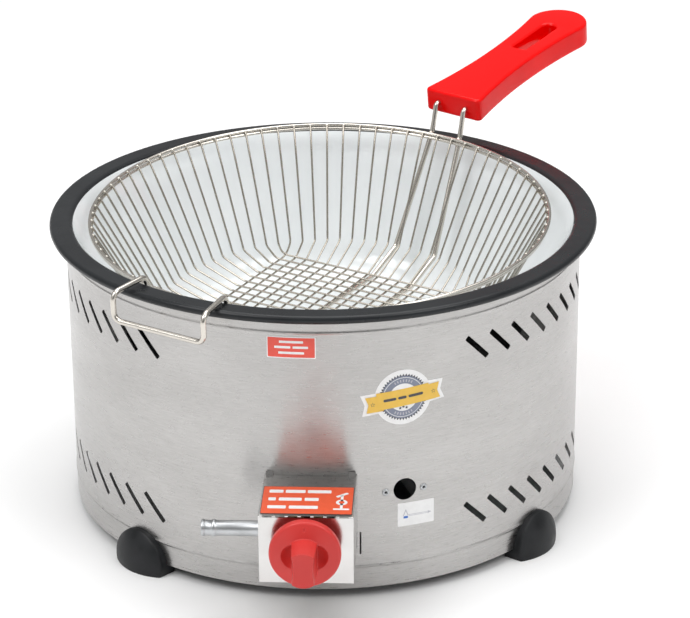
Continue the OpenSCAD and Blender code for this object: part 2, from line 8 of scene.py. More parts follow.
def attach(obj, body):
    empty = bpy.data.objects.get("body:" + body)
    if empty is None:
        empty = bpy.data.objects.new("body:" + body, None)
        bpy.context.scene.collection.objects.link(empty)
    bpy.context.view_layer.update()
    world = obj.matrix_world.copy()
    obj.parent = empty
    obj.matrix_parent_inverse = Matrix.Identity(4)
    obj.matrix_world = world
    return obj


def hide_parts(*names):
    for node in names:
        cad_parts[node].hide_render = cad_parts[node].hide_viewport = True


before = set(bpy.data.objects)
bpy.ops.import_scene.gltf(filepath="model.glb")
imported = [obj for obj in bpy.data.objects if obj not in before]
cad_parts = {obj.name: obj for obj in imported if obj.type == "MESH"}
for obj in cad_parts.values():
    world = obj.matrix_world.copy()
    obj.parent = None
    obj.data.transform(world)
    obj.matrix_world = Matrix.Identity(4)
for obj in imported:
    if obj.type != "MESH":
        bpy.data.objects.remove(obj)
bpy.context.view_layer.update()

# Countertop gas deep fryer. Metres, +Z up, the floor at z = 0, the knob side faces -Y.
# Angles are in degrees; those round the casing (az) start at the knob side, positive towards +X.
# The profiles, the labels and CREASE_STEPS, CREASE_WIDTH, SEAM_FROM, SEAM_LEN, SLIT_PITCH and
# FILM_STRIP are in bare millimetres.
MM = 0.001

# ---------------------------------------------------------------- sizes
CASING_R, CASING_IN, CASING_SIDES = 188.4 * MM, 187.6 * MM, 400
CASING_BOTTOM, CASING_TOP = 8 * MM, 218.1 * MM
CASING_CORNER = 0.2 * MM
HEM_R, HEM_IN = 1.2 * MM, 0.4 * MM
CREASE_Z = (25 * MM, 203 * MM)
CREASE_PROUD, CREASE_WIDTH = 0.55 * MM, 0.75
CREASE_STEPS = (-2.2, -1.5, -1.0, -0.6, -0.3, 0, 0.3, 0.6, 1.0, 1.5, 2.2)
VENT_FIRST, VENT_PITCH, VENT_COUNT, VENT_TILT = 37, 6.3, 8, -45
VENT_Z = (51 * MM, 178 * MM)
VENT_LEN, VENT_W, VENT_CORNER = 25.4 * MM, 4 * MM, 0.9 * MM
LIGHT_AZ, LIGHT_Z, LIGHT_R = 20, 81.7 * MM, 8.25 * MM
RIVET_STEP, RIVET_Z, RIVET_HOLE_R = 4.2, 81 * MM, 1.6 * MM
RIVET_AZ = [az + s * RIVET_STEP for az in (LIGHT_AZ, LIGHT_AZ + 180) for s in (-1, 1)]
TAP_HOLE_R = 20 * MM
SIDE_SLOT_X, SIDE_SLOT_HALF, SIDE_SLOT_Z = 33.9 * MM, 0.6 * MM, (34.7 * MM, 51.9 * MM)
VENT_CUT, HOLE_CUT, SLOT_CUT = 5 * MM, 6 * MM, 8 * MM
SEAM_HALF, SEAM_FROM, SEAM_LEN = 2.3, 30, 168
SEAM_PROUD, SEAM_SUNK = 0.72 * MM, 0.3 * MM

FOOT_AZ = {"foot_front_left": -41, "foot_front_right": 55.5,
           "foot_rear_right": 139, "foot_rear_left": 235.5}
FOOT_R, FOOT_UP, FOOT_IN, FOOT_OUT = 23.5 * MM, 6 * MM, 9 * MM, 20 * MM
FOOT_DOME_R, FOOT_DOME_UP, FOOT_PROUD = 40 * MM, 4 * MM, 13 * MM
FOOT_HIGH, FOOT_FLAT, FOOT_VOXEL = 29.5 * MM, 0.7 * MM, 0.55 * MM
FOOT_SLOT_GAP, FOOT_SLOT_TOP = 0.1 * MM, 60 * MM

RIM_R, ROLL_R, ROLL_Z = 197 * MM, 3 * MM, 216.6 * MM
THROAT_AT, THROAT_R = (187 * MM, 215.1 * MM), 4.5 * MM
PAN_T, PAN_FLOOR, PAN_SLOPE, PAN_CORNER_R, PAN_SIDES = 1.2 * MM, 113 * MM, 24, 30 * MM, 360
ENAMEL_EDGE = 183.2 * MM

BASKET_AT = Vector((-2.5 * MM, -3.2 * MM, 219.7 * MM))
TILT_BACK, TILT_SIDE, HANDLE_AZ, WEAVE_TURN = 3.2, 0.6, 148, 3.7
RING_R, RING_WIRE = 168 * MM, 1.3 * MM
LOWER_DROP, LOWER_WIRE = 2.6 * MM, 1.2 * MM
WIRE_R, WIRE_BEND = 0.8 * MM, 7 * MM
WIRE_COUNT, WIRE_STEP = 20, 4.5
WALL_R, KNEE_R, KNEE_DROP = 165.85 * MM, 124 * MM, 80 * MM
WALL_LEAN = (WALL_R - KNEE_R) / KNEE_DROP
LOWER_R = 166.86 * MM
GRID_HALF, GRID_OVER = 88.4 * MM, 2 * MM
CROSS_Z, LONG_Z, UNDER_Z = -90.3 * MM, -91.95 * MM, -94.8 * MM
FRAME_WIRE, FRAME_R, FRAME_BEND = 2 * MM, 172.2 * MM, 6.5 * MM
HANDLE_HALF, HANDLE_HALF_LOW = 12.7 * MM, 18 * MM
GRIP_AT = Vector((0, 180.9 * MM, 22 * MM))
GRIP_RISE, GRIP_TURN = 5.5, -2.1
GRIP_LEN, GRIP_W, GRIP_T, GRIP_END_R = 175 * MM, 53 * MM, 18.5 * MM, 25 * MM
GRIP_WAIST, GRIP_WAIST_AT, GRIP_SIDE_R = 37.6 * MM, 80 * MM, 447 * MM
GRIP_SLOT = (95 * MM, 145 * MM, 6.25 * MM)
GRIP_EDGE = 2.4 * MM
HOOK_HALF, HOOK_HALF_IN, HOOK_LEG = 36.6 * MM, 32.8 * MM, 38 * MM
HOOK_TOP, HOOK_DROP, HOOK_REACH = 14.1 * MM, 20.2 * MM, 209 * MM
HOOK_OUT, HOOK_BEND = 1 * MM, 6 * MM

KNOB_Z, KNOB_R, KNOB_BACK, KNOB_FACE = 75 * MM, 24.3 * MM, 257 * MM, 9.2 * MM
KNOB_DISH_R, KNOB_DISH_X, KNOB_DISH_UP = 11.05 * MM, 7.5 * MM, 6.55 * MM
KNOB_BAR_Z, KNOB_BAR_R = (3 * MM, 29.5 * MM), (13.6 * MM, 12.7 * MM)
KNOB_WAIST_X, KNOB_WAIST_R = 56.45 * MM, (48.44 * MM, 50.11 * MM)
KNOB_VOXEL = 0.32 * MM
COVER_W, COVER_T, COVER_FRONT, COVER_BACK = 64 * MM, 0.8 * MM, 250 * MM, -150 * MM
COVER_TOP, COVER_BOTTOM, COVER_FOLD = 96.7 * MM, 46.5 * MM, 0.7 * MM
COVER_SPINDLE_R, COVER_INLET_R, COVER_CUT = 6 * MM, 6.3 * MM, 4 * MM
SLIT_COUNT, SLIT_PITCH, SLIT_HALF = 7, 8.6, (3.2 * MM, 0.6 * MM, 1.6 * MM)
TAB_IN, TAB_HALF, TAB_UP, TAB_Y = 3.5 * MM, 2.5 * MM, 2.5 * MM, (-187.6 * MM, -186.8 * MM)
INLET_Y = 226 * MM
LABEL_BACK = 3.5 * MM
FILM_STRIP = 2.0


# ---------------------------------------------------------------- materials
class Nodes:
    """A node tree and short calls that add and join its nodes."""

    def __init__(self, tree):
        self.tree = tree

    def set(self, node, socket, value):
        target = node.inputs[socket]
        if isinstance(value, bpy.types.NodeSocket):
            self.tree.links.new(value, target)
        else:
            target.default_value = value

    def add(self, kind, inputs=None, **settings):
        node = self.tree.nodes.new(kind)
        for key, value in settings.items():
            setattr(node, key, value)
        for key, value in (inputs or {}).items():
            self.set(node, key, value)
        return node

    def math(self, operation, a, b=0.0):
        return self.add("ShaderNodeMath", {0: a, 1: b}, operation=operation).outputs[0]


class Shade(Nodes):
    """A procedural material on the Principled shader."""

    def __init__(self, name, color, metallic, roughness, **sockets):
        self.material = bpy.data.materials.new(name)
        self.material.use_nodes = True
        super().__init__(self.material.node_tree)
        self.bsdf = self.tree.nodes["Principled BSDF"]
        self.set(self.bsdf, "Base Color", (*color, 1.0))
        self.set(self.bsdf, "Metallic", metallic)
        self.set(self.bsdf, "Roughness", roughness)
        for socket, value in sockets.items():
            self.set(self.bsdf, socket.replace("_", " "), value)
        self.coords = self.add("ShaderNodeTexCoord").outputs["Object"]

    def noise(self, scale, detail, vector=None, roughness=0.5):
        return self.add("ShaderNodeTexNoise", {
            "Vector": vector or self.coords, "Scale": scale,
            "Detail": detail, "Roughness": roughness}).outputs["Fac"]

    def spread(self, value, low, high, from_low=0.3, from_high=0.7):
        """value, remapped from its own spread to low and high."""
        return self.add("ShaderNodeMapRange", {
            "Value": value, "From Min": from_low, "From Max": from_high,
            "To Min": low, "To Max": high}).outputs["Result"]

    def colour(self, factor, a, b):
        """Colours the surface from a to b as factor goes from 0 to 1."""
        node = self.add("ShaderNodeMix", data_type="RGBA")
        self.set(node, "Factor", factor)
        self.set(node, 6, (*a, 1.0))
        self.set(node, 7, (*b, 1.0))
        self.set(self.bsdf, "Base Color", node.outputs[2])

    def mottle(self, pattern, color, dark):
        """Colours the surface, down to dark times the color where pattern is high."""
        self.colour(self.spread(pattern, 0.0, 1.0), color, [c * dark for c in color])

    def rough(self, value):
        self.set(self.bsdf, "Roughness", value)

    def bump(self, height, distance, strength):
        node = self.add("ShaderNodeBump",
                        {"Height": height, "Distance": distance, "Strength": strength})
        self.set(self.bsdf, "Normal", node.outputs["Normal"])

    def around(self, along, up):
        """Coordinates round the casing's axis: along per metre of arc, up per metre of height."""
        split = self.add("ShaderNodeSeparateXYZ", {0: self.coords})
        x, y, z = split.outputs
        angle = self.math("ARCTAN2", x, self.math("MULTIPLY", y, -1.0))
        squares = self.math("ADD", self.math("MULTIPLY", x, x), self.math("MULTIPLY", y, y))
        radius = self.math("SQRT", squares)
        return self.add("ShaderNodeCombineXYZ", {
            "X": self.math("MULTIPLY", angle, along * CASING_R),
            "Y": self.math("MULTIPLY", radius, up * 0.5),
            "Z": self.math("MULTIPLY", z, up)}).outputs[0]


def brushed_steel():
    """Stainless sheet, brushed round the casing."""
    s = Shade("brushed_steel", (0.5, 0.5, 0.5), 1.0, 0.36,
              Anisotropic=0.7, Anisotropic_Rotation=0.25)
    tangent = s.add("ShaderNodeTangent", direction_type="RADIAL", axis="Z")
    s.set(s.bsdf, "Tangent", tangent.outputs[0])
    streaks = s.noise(1.0, 4.0, s.around(110, 900), 0.66)
    hair = s.noise(1.0, 2.0, s.around(90, 3400))
    patches = s.noise(1.0, 3.0, s.around(16, 40))
    tone = s.math("ADD", s.spread(streaks, -0.1, 0.1), s.spread(patches, -0.06, 0.06))
    tone = s.math("ADD", s.math("ADD", tone, s.spread(hair, -0.08, 0.08)), 0.5)
    s.colour(tone, (0.29, 0.282, 0.273), (0.66, 0.648, 0.638))
    s.rough(s.spread(streaks, 0.24, 0.38))
    lines = s.math("ADD", s.math("MULTIPLY", streaks, 0.6), s.math("MULTIPLY", hair, 0.4))
    s.bump(lines, 0.00006, 0.3)
    return s.material


def bright_sheet():
    """Rolled, nearly mirror-bright sheet with faint grain and finger marks."""
    s = Shade("bright_sheet", (0.7, 0.69, 0.68), 1.0, 0.14)
    grain = s.add("ShaderNodeMapping", {"Vector": s.coords, "Scale": (3.0, 60.0, 60.0)}).outputs[0]
    lines = s.noise(30.0, 3.0, grain)
    smudge = s.noise(55.0, 3.0)
    s.colour(s.spread(smudge, 0.0, 0.5), (0.66, 0.65, 0.64), (0.56, 0.55, 0.54))
    s.rough(s.math("ADD", s.spread(smudge, 0.09, 0.2), s.spread(lines, 0.0, 0.06)))
    s.bump(lines, 0.00003, 0.3)
    return s.material


def enamel(name, light, dark, roughness, coat, specular):
    """Fired glass enamel: a deep gloss with faint orange peel and specks."""
    s = Shade(name, light, 0.0, roughness, Coat_Weight=coat, Coat_Roughness=0.04,
              Specular_IOR_Level=specular)
    s.colour(s.spread(s.noise(18.0, 4.0), 0.0, 1.0), light, dark)
    specks = s.spread(s.noise(900.0, 1.0), 0.0, 1.0, 0.7, 0.78)
    s.rough(s.math("ADD", s.spread(s.noise(60.0, 2.0), roughness * 0.8, roughness * 1.3),
                   s.math("MULTIPLY", specks, 0.1)))
    s.bump(s.noise(130.0, 2.0), 0.0003, 0.12)
    return s.material


def nickel_wire(name, color, roughness):
    """Drawn, nickel-plated wire: warm grey with a little tarnish."""
    s = Shade(name, color, 1.0, roughness)
    tarnish = s.noise(28.0, 3.0)
    s.mottle(tarnish, color, 0.86)
    s.rough(s.spread(s.noise(90.0, 2.0), roughness * 0.85, roughness * 1.2))
    s.bump(s.noise(260.0, 2.0), 0.00004, 0.12)
    return s.material


def plastic(name, color, roughness, coat, grain, specular):
    """Moulded plastic: fine grain, slight flow in the colour."""
    s = Shade(name, color, 0.0, roughness, Coat_Weight=coat, Coat_Roughness=0.06,
              Specular_IOR_Level=specular)
    s.mottle(s.noise(22.0, 3.0), color, 0.86)
    s.rough(s.spread(s.noise(90.0, 3.0), roughness * 0.85, roughness * 1.2))
    s.bump(s.noise(1400.0, 2.0), 0.00008, grain)
    return s.material


def rubber():
    s = Shade("foot_rubber", (0.012, 0.012, 0.013), 0.0, 0.42, Specular_IOR_Level=0.3)
    dust = s.noise(75.0, 5.0)
    s.colour(s.spread(dust, 0.0, 0.6), (0.007, 0.008, 0.009), (0.022, 0.023, 0.026))
    s.rough(s.spread(dust, 0.34, 0.55))
    s.bump(s.noise(1100.0, 3.0), 0.00015, 0.3)
    return s.material


def printed(name, color, roughness=0.35):
    """Ink on vinyl film."""
    s = Shade(name, color, 0.0, roughness, Coat_Weight=0.3, Coat_Roughness=0.15)
    s.mottle(s.noise(240.0, 3.0), color, 0.93)
    s.rough(s.spread(s.noise(120.0, 2.0), roughness * 0.9, roughness * 1.15))
    s.bump(s.noise(500.0, 2.0), 0.00005, 0.2)
    return s.material


def cast_iron():
    s = Shade("cast_iron", (0.045, 0.045, 0.048), 0.75, 0.6)
    grit = s.noise(520.0, 5.0, roughness=0.65)
    rust = s.noise(34.0, 5.0)
    s.colour(s.spread(rust, 0.0, 0.7, 0.55, 0.75), (0.05, 0.05, 0.053), (0.13, 0.06, 0.035))
    s.rough(s.spread(grit, 0.5, 0.72))
    s.bump(grit, 0.0006, 0.5)
    return s.material


def turned(name, color, roughness):
    """Turned or plated metal with fine tool marks."""
    s = Shade(name, color, 1.0, roughness)
    marks = s.noise(1500.0, 2.0)
    tone = s.noise(70.0, 4.0)
    s.mottle(tone, color, 0.78)
    s.rough(s.spread(tone, roughness * 0.8, roughness * 1.3))
    s.bump(marks, 0.00005, 0.25)
    return s.material


STEEL = brushed_steel()
COVER = bright_sheet()
WHITE_ENAMEL = enamel("white_enamel", (0.84, 0.87, 0.88), (0.80, 0.835, 0.85), 0.16, 0.6, 0.5)
DARK_ENAMEL = enamel("dark_enamel", (0.016, 0.018, 0.020), (0.010, 0.011, 0.013), 0.3, 0.04, 0.26)
NICKEL = nickel_wire("nickel_wire", (0.45, 0.42, 0.37), 0.22)
NICKEL_FRAME = nickel_wire("nickel_frame", (0.70, 0.66, 0.60), 0.2)
NICKEL_BRIGHT = nickel_wire("nickel_bright", (0.80, 0.77, 0.70), 0.3)
GRIP_RED = plastic("grip_red", (0.84, 0.0, 0.0), 0.28, 0.5, 0.02, 0.0)
KNOB_RED = plastic("knob_red", (0.62, 0.035, 0.03), 0.42, 0.1, 0.25, 0.4)
RUBBER = rubber()
IRON = cast_iron()
BRASS = turned("brass", (0.62, 0.45, 0.2), 0.3)
ZINC = turned("zinc_plate", (0.55, 0.565, 0.58), 0.34)
ORANGE = printed("ink_orange", (0.80, 0.10, 0.03))
WARN_RED = printed("ink_red", (0.80, 0.075, 0.045))
DARK_FILM = printed("dark_film", (0.055, 0.054, 0.055), 0.3)
LABEL_WHITE = printed("film_white", (0.86, 0.86, 0.86))
INK_GREY = printed("ink_blue_grey", (0.20, 0.225, 0.30))
INK_DARK = printed("ink_dark", (0.035, 0.04, 0.055))
INK_YELLOW = printed("ink_yellow", (0.80, 0.50, 0.06))
INK_AMBER = printed("ink_amber", (0.62, 0.33, 0.03))
INK_BLUE = printed("ink_blue", (0.03, 0.15, 0.55))
INK_PALE = printed("ink_pale_grey", (0.50, 0.50, 0.55))


# ---------------------------------------------------------------- mesh tools
def add_object(name, data):
    obj = bpy.data.objects.new(name, data)
    bpy.context.scene.collection.objects.link(obj)
    return obj


def as_mesh(name, bm):
    """bm as a mesh, its normals outwards. bm is used up."""
    bmesh.ops.recalc_face_normals(bm, faces=bm.faces)
    mesh = bpy.data.meshes.new(name)
    bm.to_mesh(mesh)
    bm.free()
    return mesh


def place(name, mesh, body, materials, nodes, slot, sharp=35.0):
    """Makes mesh a piece that rides on body and stands for the CAD nodes."""
    for m in materials:
        mesh.materials.append(m)
    mesh.shade_smooth()
    mesh.set_sharp_from_angle(angle=math.radians(sharp))
    obj = add_object(name, mesh)
    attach(obj, body)
    if nodes:
        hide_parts(*nodes)


def put(name, bm, *piece):
    place(name, as_mesh(name, bm), *piece)


def scratch(bm):
    """An object that only helps to make others."""
    return add_object("scratch", as_mesh("scratch", bm))


def baked(obj, *helpers):
    """The mesh of obj with its modifiers applied. obj and the helpers are removed."""
    bpy.context.view_layer.update()
    depsgraph = bpy.context.evaluated_depsgraph_get()
    mesh = bpy.data.meshes.new_from_object(obj.evaluated_get(depsgraph))
    mesh.transform(obj.matrix_world)
    for o in (obj, *helpers):
        bpy.data.objects.remove(o)
    return mesh


def modify(obj, kind, **settings):
    m = obj.modifiers.new(kind.lower(), kind)
    for key, value in settings.items():
        setattr(m, key, value)


def combined(obj, other, operation="DIFFERENCE", **settings):
    """The mesh of the two objects' difference, union or overlap. Both are removed."""
    modify(obj, "BOOLEAN", operation=operation, solver="EXACT", object=other, **settings)
    return baked(obj, other)


def softened(obj, voxel, rounds):
    """The mesh of obj with all its edges rounded off. obj is removed."""
    modify(obj, "REMESH", mode="VOXEL", voxel_size=voxel)
    modify(obj, "SMOOTH", factor=0.5, iterations=rounds)
    return baked(obj)


def made_at(matrix, make, bm, *shape):
    """Makes a shape in bm and moves it by matrix."""
    start = len(bm.verts)
    make(bm, *shape)
    bm.verts.ensure_lookup_table()
    bmesh.ops.transform(bm, matrix=matrix, verts=bm.verts[start:])


def in_mm(points):
    return [(x * MM, y * MM) for x, y in points]


def disc(r, count, tooth=0.0):
    """A circle. With a tooth, every second point stands out by that much."""
    return [((r + tooth * (k % 2)) * math.cos(2 * math.pi * k / count),
             (r + tooth * (k % 2)) * math.sin(2 * math.pi * k / count)) for k in range(count)]


def card(width, height, corner=0.8, steps=4):
    """A rectangle with round corners."""
    x, y = width / 2, height / 2
    corners = [(-x, -y, 0), (x, -y, 0), (x, y, 0), (-x, y, 0)]
    return [(p.x, p.y) for p in fillet(corners, corner, steps, closed=True)]


def arc(cx, cy, r, start, end, steps):
    turns = [math.radians(start + (end - start) * k / steps) for k in range(steps + 1)]
    return [(cx + r * math.cos(a), cy + r * math.sin(a)) for a in turns]


def ball(bm, r, step, segments):
    """A sphere, with its rings step degrees apart."""
    lathe(bm, [(r * math.sin(math.radians(a)), r * math.cos(math.radians(a)))
               for a in range(0, 181, step)], segments, closed=False)


def cone(bm, low_r, low, high_r, high, segments):
    lathe(bm, [(0, low), (low_r, low), (high_r, high), (0, high)], segments, closed=False)


def lathe(bm, profile, segments, closed=True):
    """Revolves (radius, height) points about +Z."""
    rings = []
    for r, z in profile:
        if r < 1e-7:
            rings.append([bm.verts.new((0, 0, z))] * segments)
        else:
            rings.append([bm.verts.new((x, y, z)) for x, y in disc(r, segments)])
    pairs = list(zip(rings, rings[1:])) + ([(rings[-1], rings[0])] if closed else [])
    for low, high in pairs:
        for k in range(segments):
            n = (k + 1) % segments
            corners = list(dict.fromkeys((low[k], low[n], high[n], high[k])))
            if len(corners) > 2:
                bm.faces.new(corners)


def fillet(points, radius, steps=6, closed=False):
    """The polyline with each inner corner turned into an arc."""
    points = [Vector(p) for p in points]
    count = len(points)
    out = []
    for i, p in enumerate(points):
        if not closed and i in (0, count - 1):
            out.append(p)
            continue
        r = radius[i] if isinstance(radius, (list, tuple)) else radius
        back, ahead = points[i - 1] - p, points[(i + 1) % count] - p
        u, v = back.normalized(), ahead.normalized()
        turn = math.pi - u.angle(v)
        if turn < 0.01 or r <= 0:
            out.append(p)
            continue
        cut = min(r * math.tan(turn / 2), 0.49 * back.length, 0.49 * ahead.length)
        r = cut / math.tan(turn / 2)
        centre = p + (u + v).normalized() * (r / math.cos(turn / 2))
        a, b = p + u * cut - centre, p + v * cut - centre
        for k in range(steps + 1):
            part = a * math.sin((1 - k / steps) * turn) + b * math.sin(k / steps * turn)
            out.append(centre + part / math.sin(turn))
    return out


def dense(points, step):
    """More points along the straight stretches, so a long tube stays evenly meshed."""
    out = [points[0]]
    for a, b in zip(points, points[1:]):
        count = max(1, int((b - a).length / step))
        out += [a.lerp(b, k / count) for k in range(1, count + 1)]
    return out


def tube(bm, points, radius, sides, closed=False):
    """A round wire along points, with domed ends."""
    count = len(points)
    tangents = []
    for i in range(count):
        before = points[i - 1] if closed or i else points[i]
        after = points[(i + 1) % count] if closed or i < count - 1 else points[i]
        tangents.append((after - before).normalized())
    normal = tangents[0].orthogonal().normalized()
    rows = []
    for i, (p, t) in enumerate(zip(points, tangents)):
        if i:
            normal = tangents[i - 1].rotation_difference(t) @ normal
        normal = (normal - t * normal.dot(t)).normalized()
        side = t.cross(normal)
        rows.append((p, t, [normal * x + side * y for x, y in disc(1, sides)]))

    def dome(row, way, *angles):
        p, t, spin = row
        return [[p + t * way * radius * math.sin(a) * 0.6 + s * radius * math.cos(a) for s in spin]
                for a in map(math.radians, angles)]

    rings = [] if closed else dome(rows[0], -1, 80, 55, 28)
    rings += [[p + s * radius for s in spin] for p, t, spin in rows]
    rings += [] if closed else dome(rows[-1], 1, 28, 55, 80)
    made = [[bm.verts.new(v) for v in ring] for ring in rings]
    pairs = list(zip(made, made[1:])) + ([(made[-1], made[0])] if closed else [])
    for low, high in pairs:
        for k in range(sides):
            n = (k + 1) % sides
            bm.faces.new((low[k], low[n], high[n], high[k]))
    if not closed:
        bm.faces.new(list(reversed(made[0])))
        bm.faces.new(made[-1])


def blob(bm, centre, radii, matrix=Matrix.Identity(4), rings=6, sides=10):
    """A small rounded bead of metal."""
    def point(x, y, z):
        return bm.verts.new(centre + matrix @ Vector((radii[0] * x, radii[1] * y, radii[2] * z)))

    rows = []
    for i in range(1, rings):
        a = math.pi * i / rings
        rows.append([point(x, y, math.cos(a)) for x, y in disc(math.sin(a), sides)])
    top, bottom = point(0, 0, 1), point(0, 0, -1)
    for low, high in zip(rows, rows[1:]):
        for k in range(sides):
            n = (k + 1) % sides
            bm.faces.new((low[k], low[n], high[n], high[k]))
    for k in range(sides):
        n = (k + 1) % sides
        bm.faces.new((top, rows[0][k], rows[0][n]))
        bm.faces.new((bottom, rows[-1][n], rows[-1][k]))


def prism(bm, outline, low, high):
    """A flat outline in x and y, raised from low to high in z."""
    bottom = [bm.verts.new((x, y, low)) for x, y in outline]
    top = [bm.verts.new((x, y, high)) for x, y in outline]
    count = len(outline)
    bm.faces.new(list(reversed(bottom)))
    bm.faces.new(top)
    for k in range(count):
        n = (k + 1) % count
        bm.faces.new((bottom[k], bottom[n], top[n], top[k]))


def block(bm, low, high):
    (x0, y0, z0), (x1, y1, z1) = low, high
    prism(bm, [(x0, y0), (x1, y0), (x1, y1), (x0, y1)], z0, z1)


def shift(x, y, z):
    return Matrix.Translation((x, y, z))


def rotation(degrees, axis="Z"):
    return Matrix.Rotation(math.radians(degrees), 4, axis)


def facing(az, radius, z):
    """A frame on the casing: +Z outwards, +X to the right, +Y up."""
    return rotation(az) @ shift(0, -radius, z) @ rotation(90, "X")


IN_BASKET = (Matrix.Translation(BASKET_AT) @ rotation(-TILT_SIDE, "Y") @ rotation(TILT_BACK, "X")
             @ rotation(HANDLE_AZ - 180))
GRIP_FRAME = Matrix.Translation(GRIP_AT) @ rotation(GRIP_TURN) @ rotation(GRIP_RISE, "X")
IN_GRIP = IN_BASKET @ GRIP_FRAME


# ---------------------------------------------------------------- casing
def crease(z):
    """The profile of a swaged line at height z."""
    return [(CASING_R + CREASE_PROUD * math.exp(-(dz / CREASE_WIDTH) ** 2), z + dz * MM)
            for dz in CREASE_STEPS]


def straight(z0, z1, count):
    return [(CASING_R, z0 + (z1 - z0) * k / count) for k in range(1, count)]


def casing():
    """Rolled sheet with a hem, two swaged lines, vents and holes."""
    low, high = CREASE_Z
    reach = CREASE_STEPS[-1] * MM
    hem_z = CASING_TOP - HEM_R
    profile = [(CASING_IN, CASING_BOTTOM), (CASING_R - CASING_CORNER, CASING_BOTTOM),
               (CASING_R, CASING_BOTTOM + CASING_CORNER)]
    profile += straight(CASING_BOTTOM, low - reach, 3) + crease(low)
    profile += straight(low + reach, high - reach, 30) + crease(high)
    profile += straight(high + reach, hem_z - HEM_R, 3)
    profile += arc(CASING_R - HEM_IN, hem_z, HEM_R, -50, 230, 14)
    profile += [(CASING_IN, hem_z - (hem_z - CASING_BOTTOM) * k / 20) for k in range(1, 20)]
    bm = bmesh.new()
    lathe(bm, profile, CASING_SIDES)
    shell = scratch(bm)

    bm = bmesh.new()
    vent = card(VENT_LEN, VENT_W, VENT_CORNER, 3)
    for z in VENT_Z:
        for side in (-1, 1):
            for i in range(VENT_COUNT):
                az = side * (VENT_FIRST + i * VENT_PITCH)
                made_at(facing(az, CASING_R, z) @ rotation(VENT_TILT),
                        prism, bm, vent, -VENT_CUT, VENT_CUT)
    holes = [(LIGHT_AZ, LIGHT_Z, LIGHT_R, 64), (0, KNOB_Z, TAP_HOLE_R, 64)]
    holes += [(az, RIVET_Z, RIVET_HOLE_R, 20) for az in RIVET_AZ]
    for az, z, r, sides in holes:
        made_at(facing(az, CASING_R, z), prism, bm, disc(r, sides), -HOLE_CUT, HOLE_CUT)
    for x in (-SIDE_SLOT_X, SIDE_SLOT_X):
        block(bm, (x - SIDE_SLOT_HALF, -CASING_R - SLOT_CUT, SIDE_SLOT_Z[0]),
              (x + SIDE_SLOT_HALF, -CASING_R + SLOT_CUT, SIDE_SLOT_Z[1]))
    mesh = combined(shell, scratch(bm))
    place("casing", mesh, "fryer", [STEEL], ["casing_shell"], "casing_steel", 32)


def casing_seam():
    """The lap seam up the back of the casing."""
    bm = bmesh.new()
    rows, cols = 40, 8
    grid = []
    for j in range(rows + 1):
        z = (SEAM_FROM + SEAM_LEN * j / rows) * MM
        line = []
        for i in range(cols + 1):
            u = i / cols * 2 - 1
            r = CASING_R + SEAM_PROUD * min(1.0, (1 - abs(u)) * 5)
            a = math.radians(180 + u * SEAM_HALF)
            line.append(bm.verts.new((r * math.sin(a), -r * math.cos(a), z)))
        grid.append(line)
    for j in range(rows):
        for i in range(cols):
            bm.faces.new((grid[j][i], grid[j][i + 1], grid[j + 1][i + 1], grid[j + 1][i]))
    inner = {}
    for v in list(bm.verts):
        x, y, z = v.co
        sunk, far = CASING_R - SEAM_SUNK, math.hypot(x, y)
        inner[v] = bm.verts.new((x * sunk / far, y * sunk / far, z))
    for f in list(bm.faces):
        bm.faces.new([inner[v] for v in reversed(f.verts)])
    for e in [e for e in bm.edges if len(e.link_faces) == 1 and all(v in inner for v in e.verts)]:
        a, b = e.verts
        bm.faces.new((a, b, inner[b], inner[a]))
    put("casing_seam", bm, "fryer", [STEEL], (), "casing_steel")


def rivets():
    """The hollow rivets that hold the ends of the burner's bracket."""
    bm = bmesh.new()
    profile = in_mm([
        (0.85, -2.4), (0.85, 0.35), (1.05, 0.75), (1.45, 0.95), (2.0, 0.9), (2.5, 0.62),
        (2.68, 0.3), (2.66, 0.06), (1.55, 0.05), (1.55, -3.0), (2.2, -3.2), (2.25, -3.8),
        (1.4, -4.1), (0.95, -3.9)])
    for az in RIVET_AZ:
        made_at(facing(az, CASING_R, RIVET_Z), lathe, bm, profile, 28)
    put("hollow_rivets", bm, "fryer", [ZINC], ["bracket_rivets"], "zinc_steel", 50)


def feet():
    """Rubber domes pushed on over the casing's lower edge."""
    for node, az in FOOT_AZ.items():
        on_wall = facing(az, CASING_R, 0)
        bm = bmesh.new()
        made_at(shift(0, FOOT_UP, 0), cone, bm, FOOT_R, -FOOT_IN, FOOT_R, FOOT_OUT, 72)
        body = scratch(bm)
        bm = bmesh.new()
        made_at(shift(0, FOOT_DOME_UP, FOOT_PROUD - FOOT_DOME_R), ball, bm, FOOT_DOME_R, 4, 96)
        body = add_object("foot", combined(body, scratch(bm), "INTERSECT"))
        bm = bmesh.new()
        block(bm, (-FOOT_DOME_R, 0, -FOOT_DOME_R), (FOOT_DOME_R, FOOT_HIGH, FOOT_DOME_R))
        body = add_object("foot", combined(body, scratch(bm), "INTERSECT"))
        body = add_object("foot", softened(body, FOOT_VOXEL, 10))
        r_in, r_out = CASING_IN - FOOT_SLOT_GAP, CASING_R + FOOT_SLOT_GAP
        low = CASING_BOTTOM - FOOT_SLOT_GAP
        bm = bmesh.new()
        made_at(on_wall.inverted(), lathe, bm, [(r_in, low), (r_out, low), (r_out, FOOT_SLOT_TOP),
                                                (r_in, FOOT_SLOT_TOP)], CASING_SIDES)
        mesh = combined(body, scratch(bm))
        for v in mesh.vertices:
            if v.co.y < FOOT_FLAT:
                v.co.y = 0
        mesh.transform(on_wall)
        place("rubber_" + node, mesh, "fryer", [RUBBER], [node], "foot_rubber", 40)


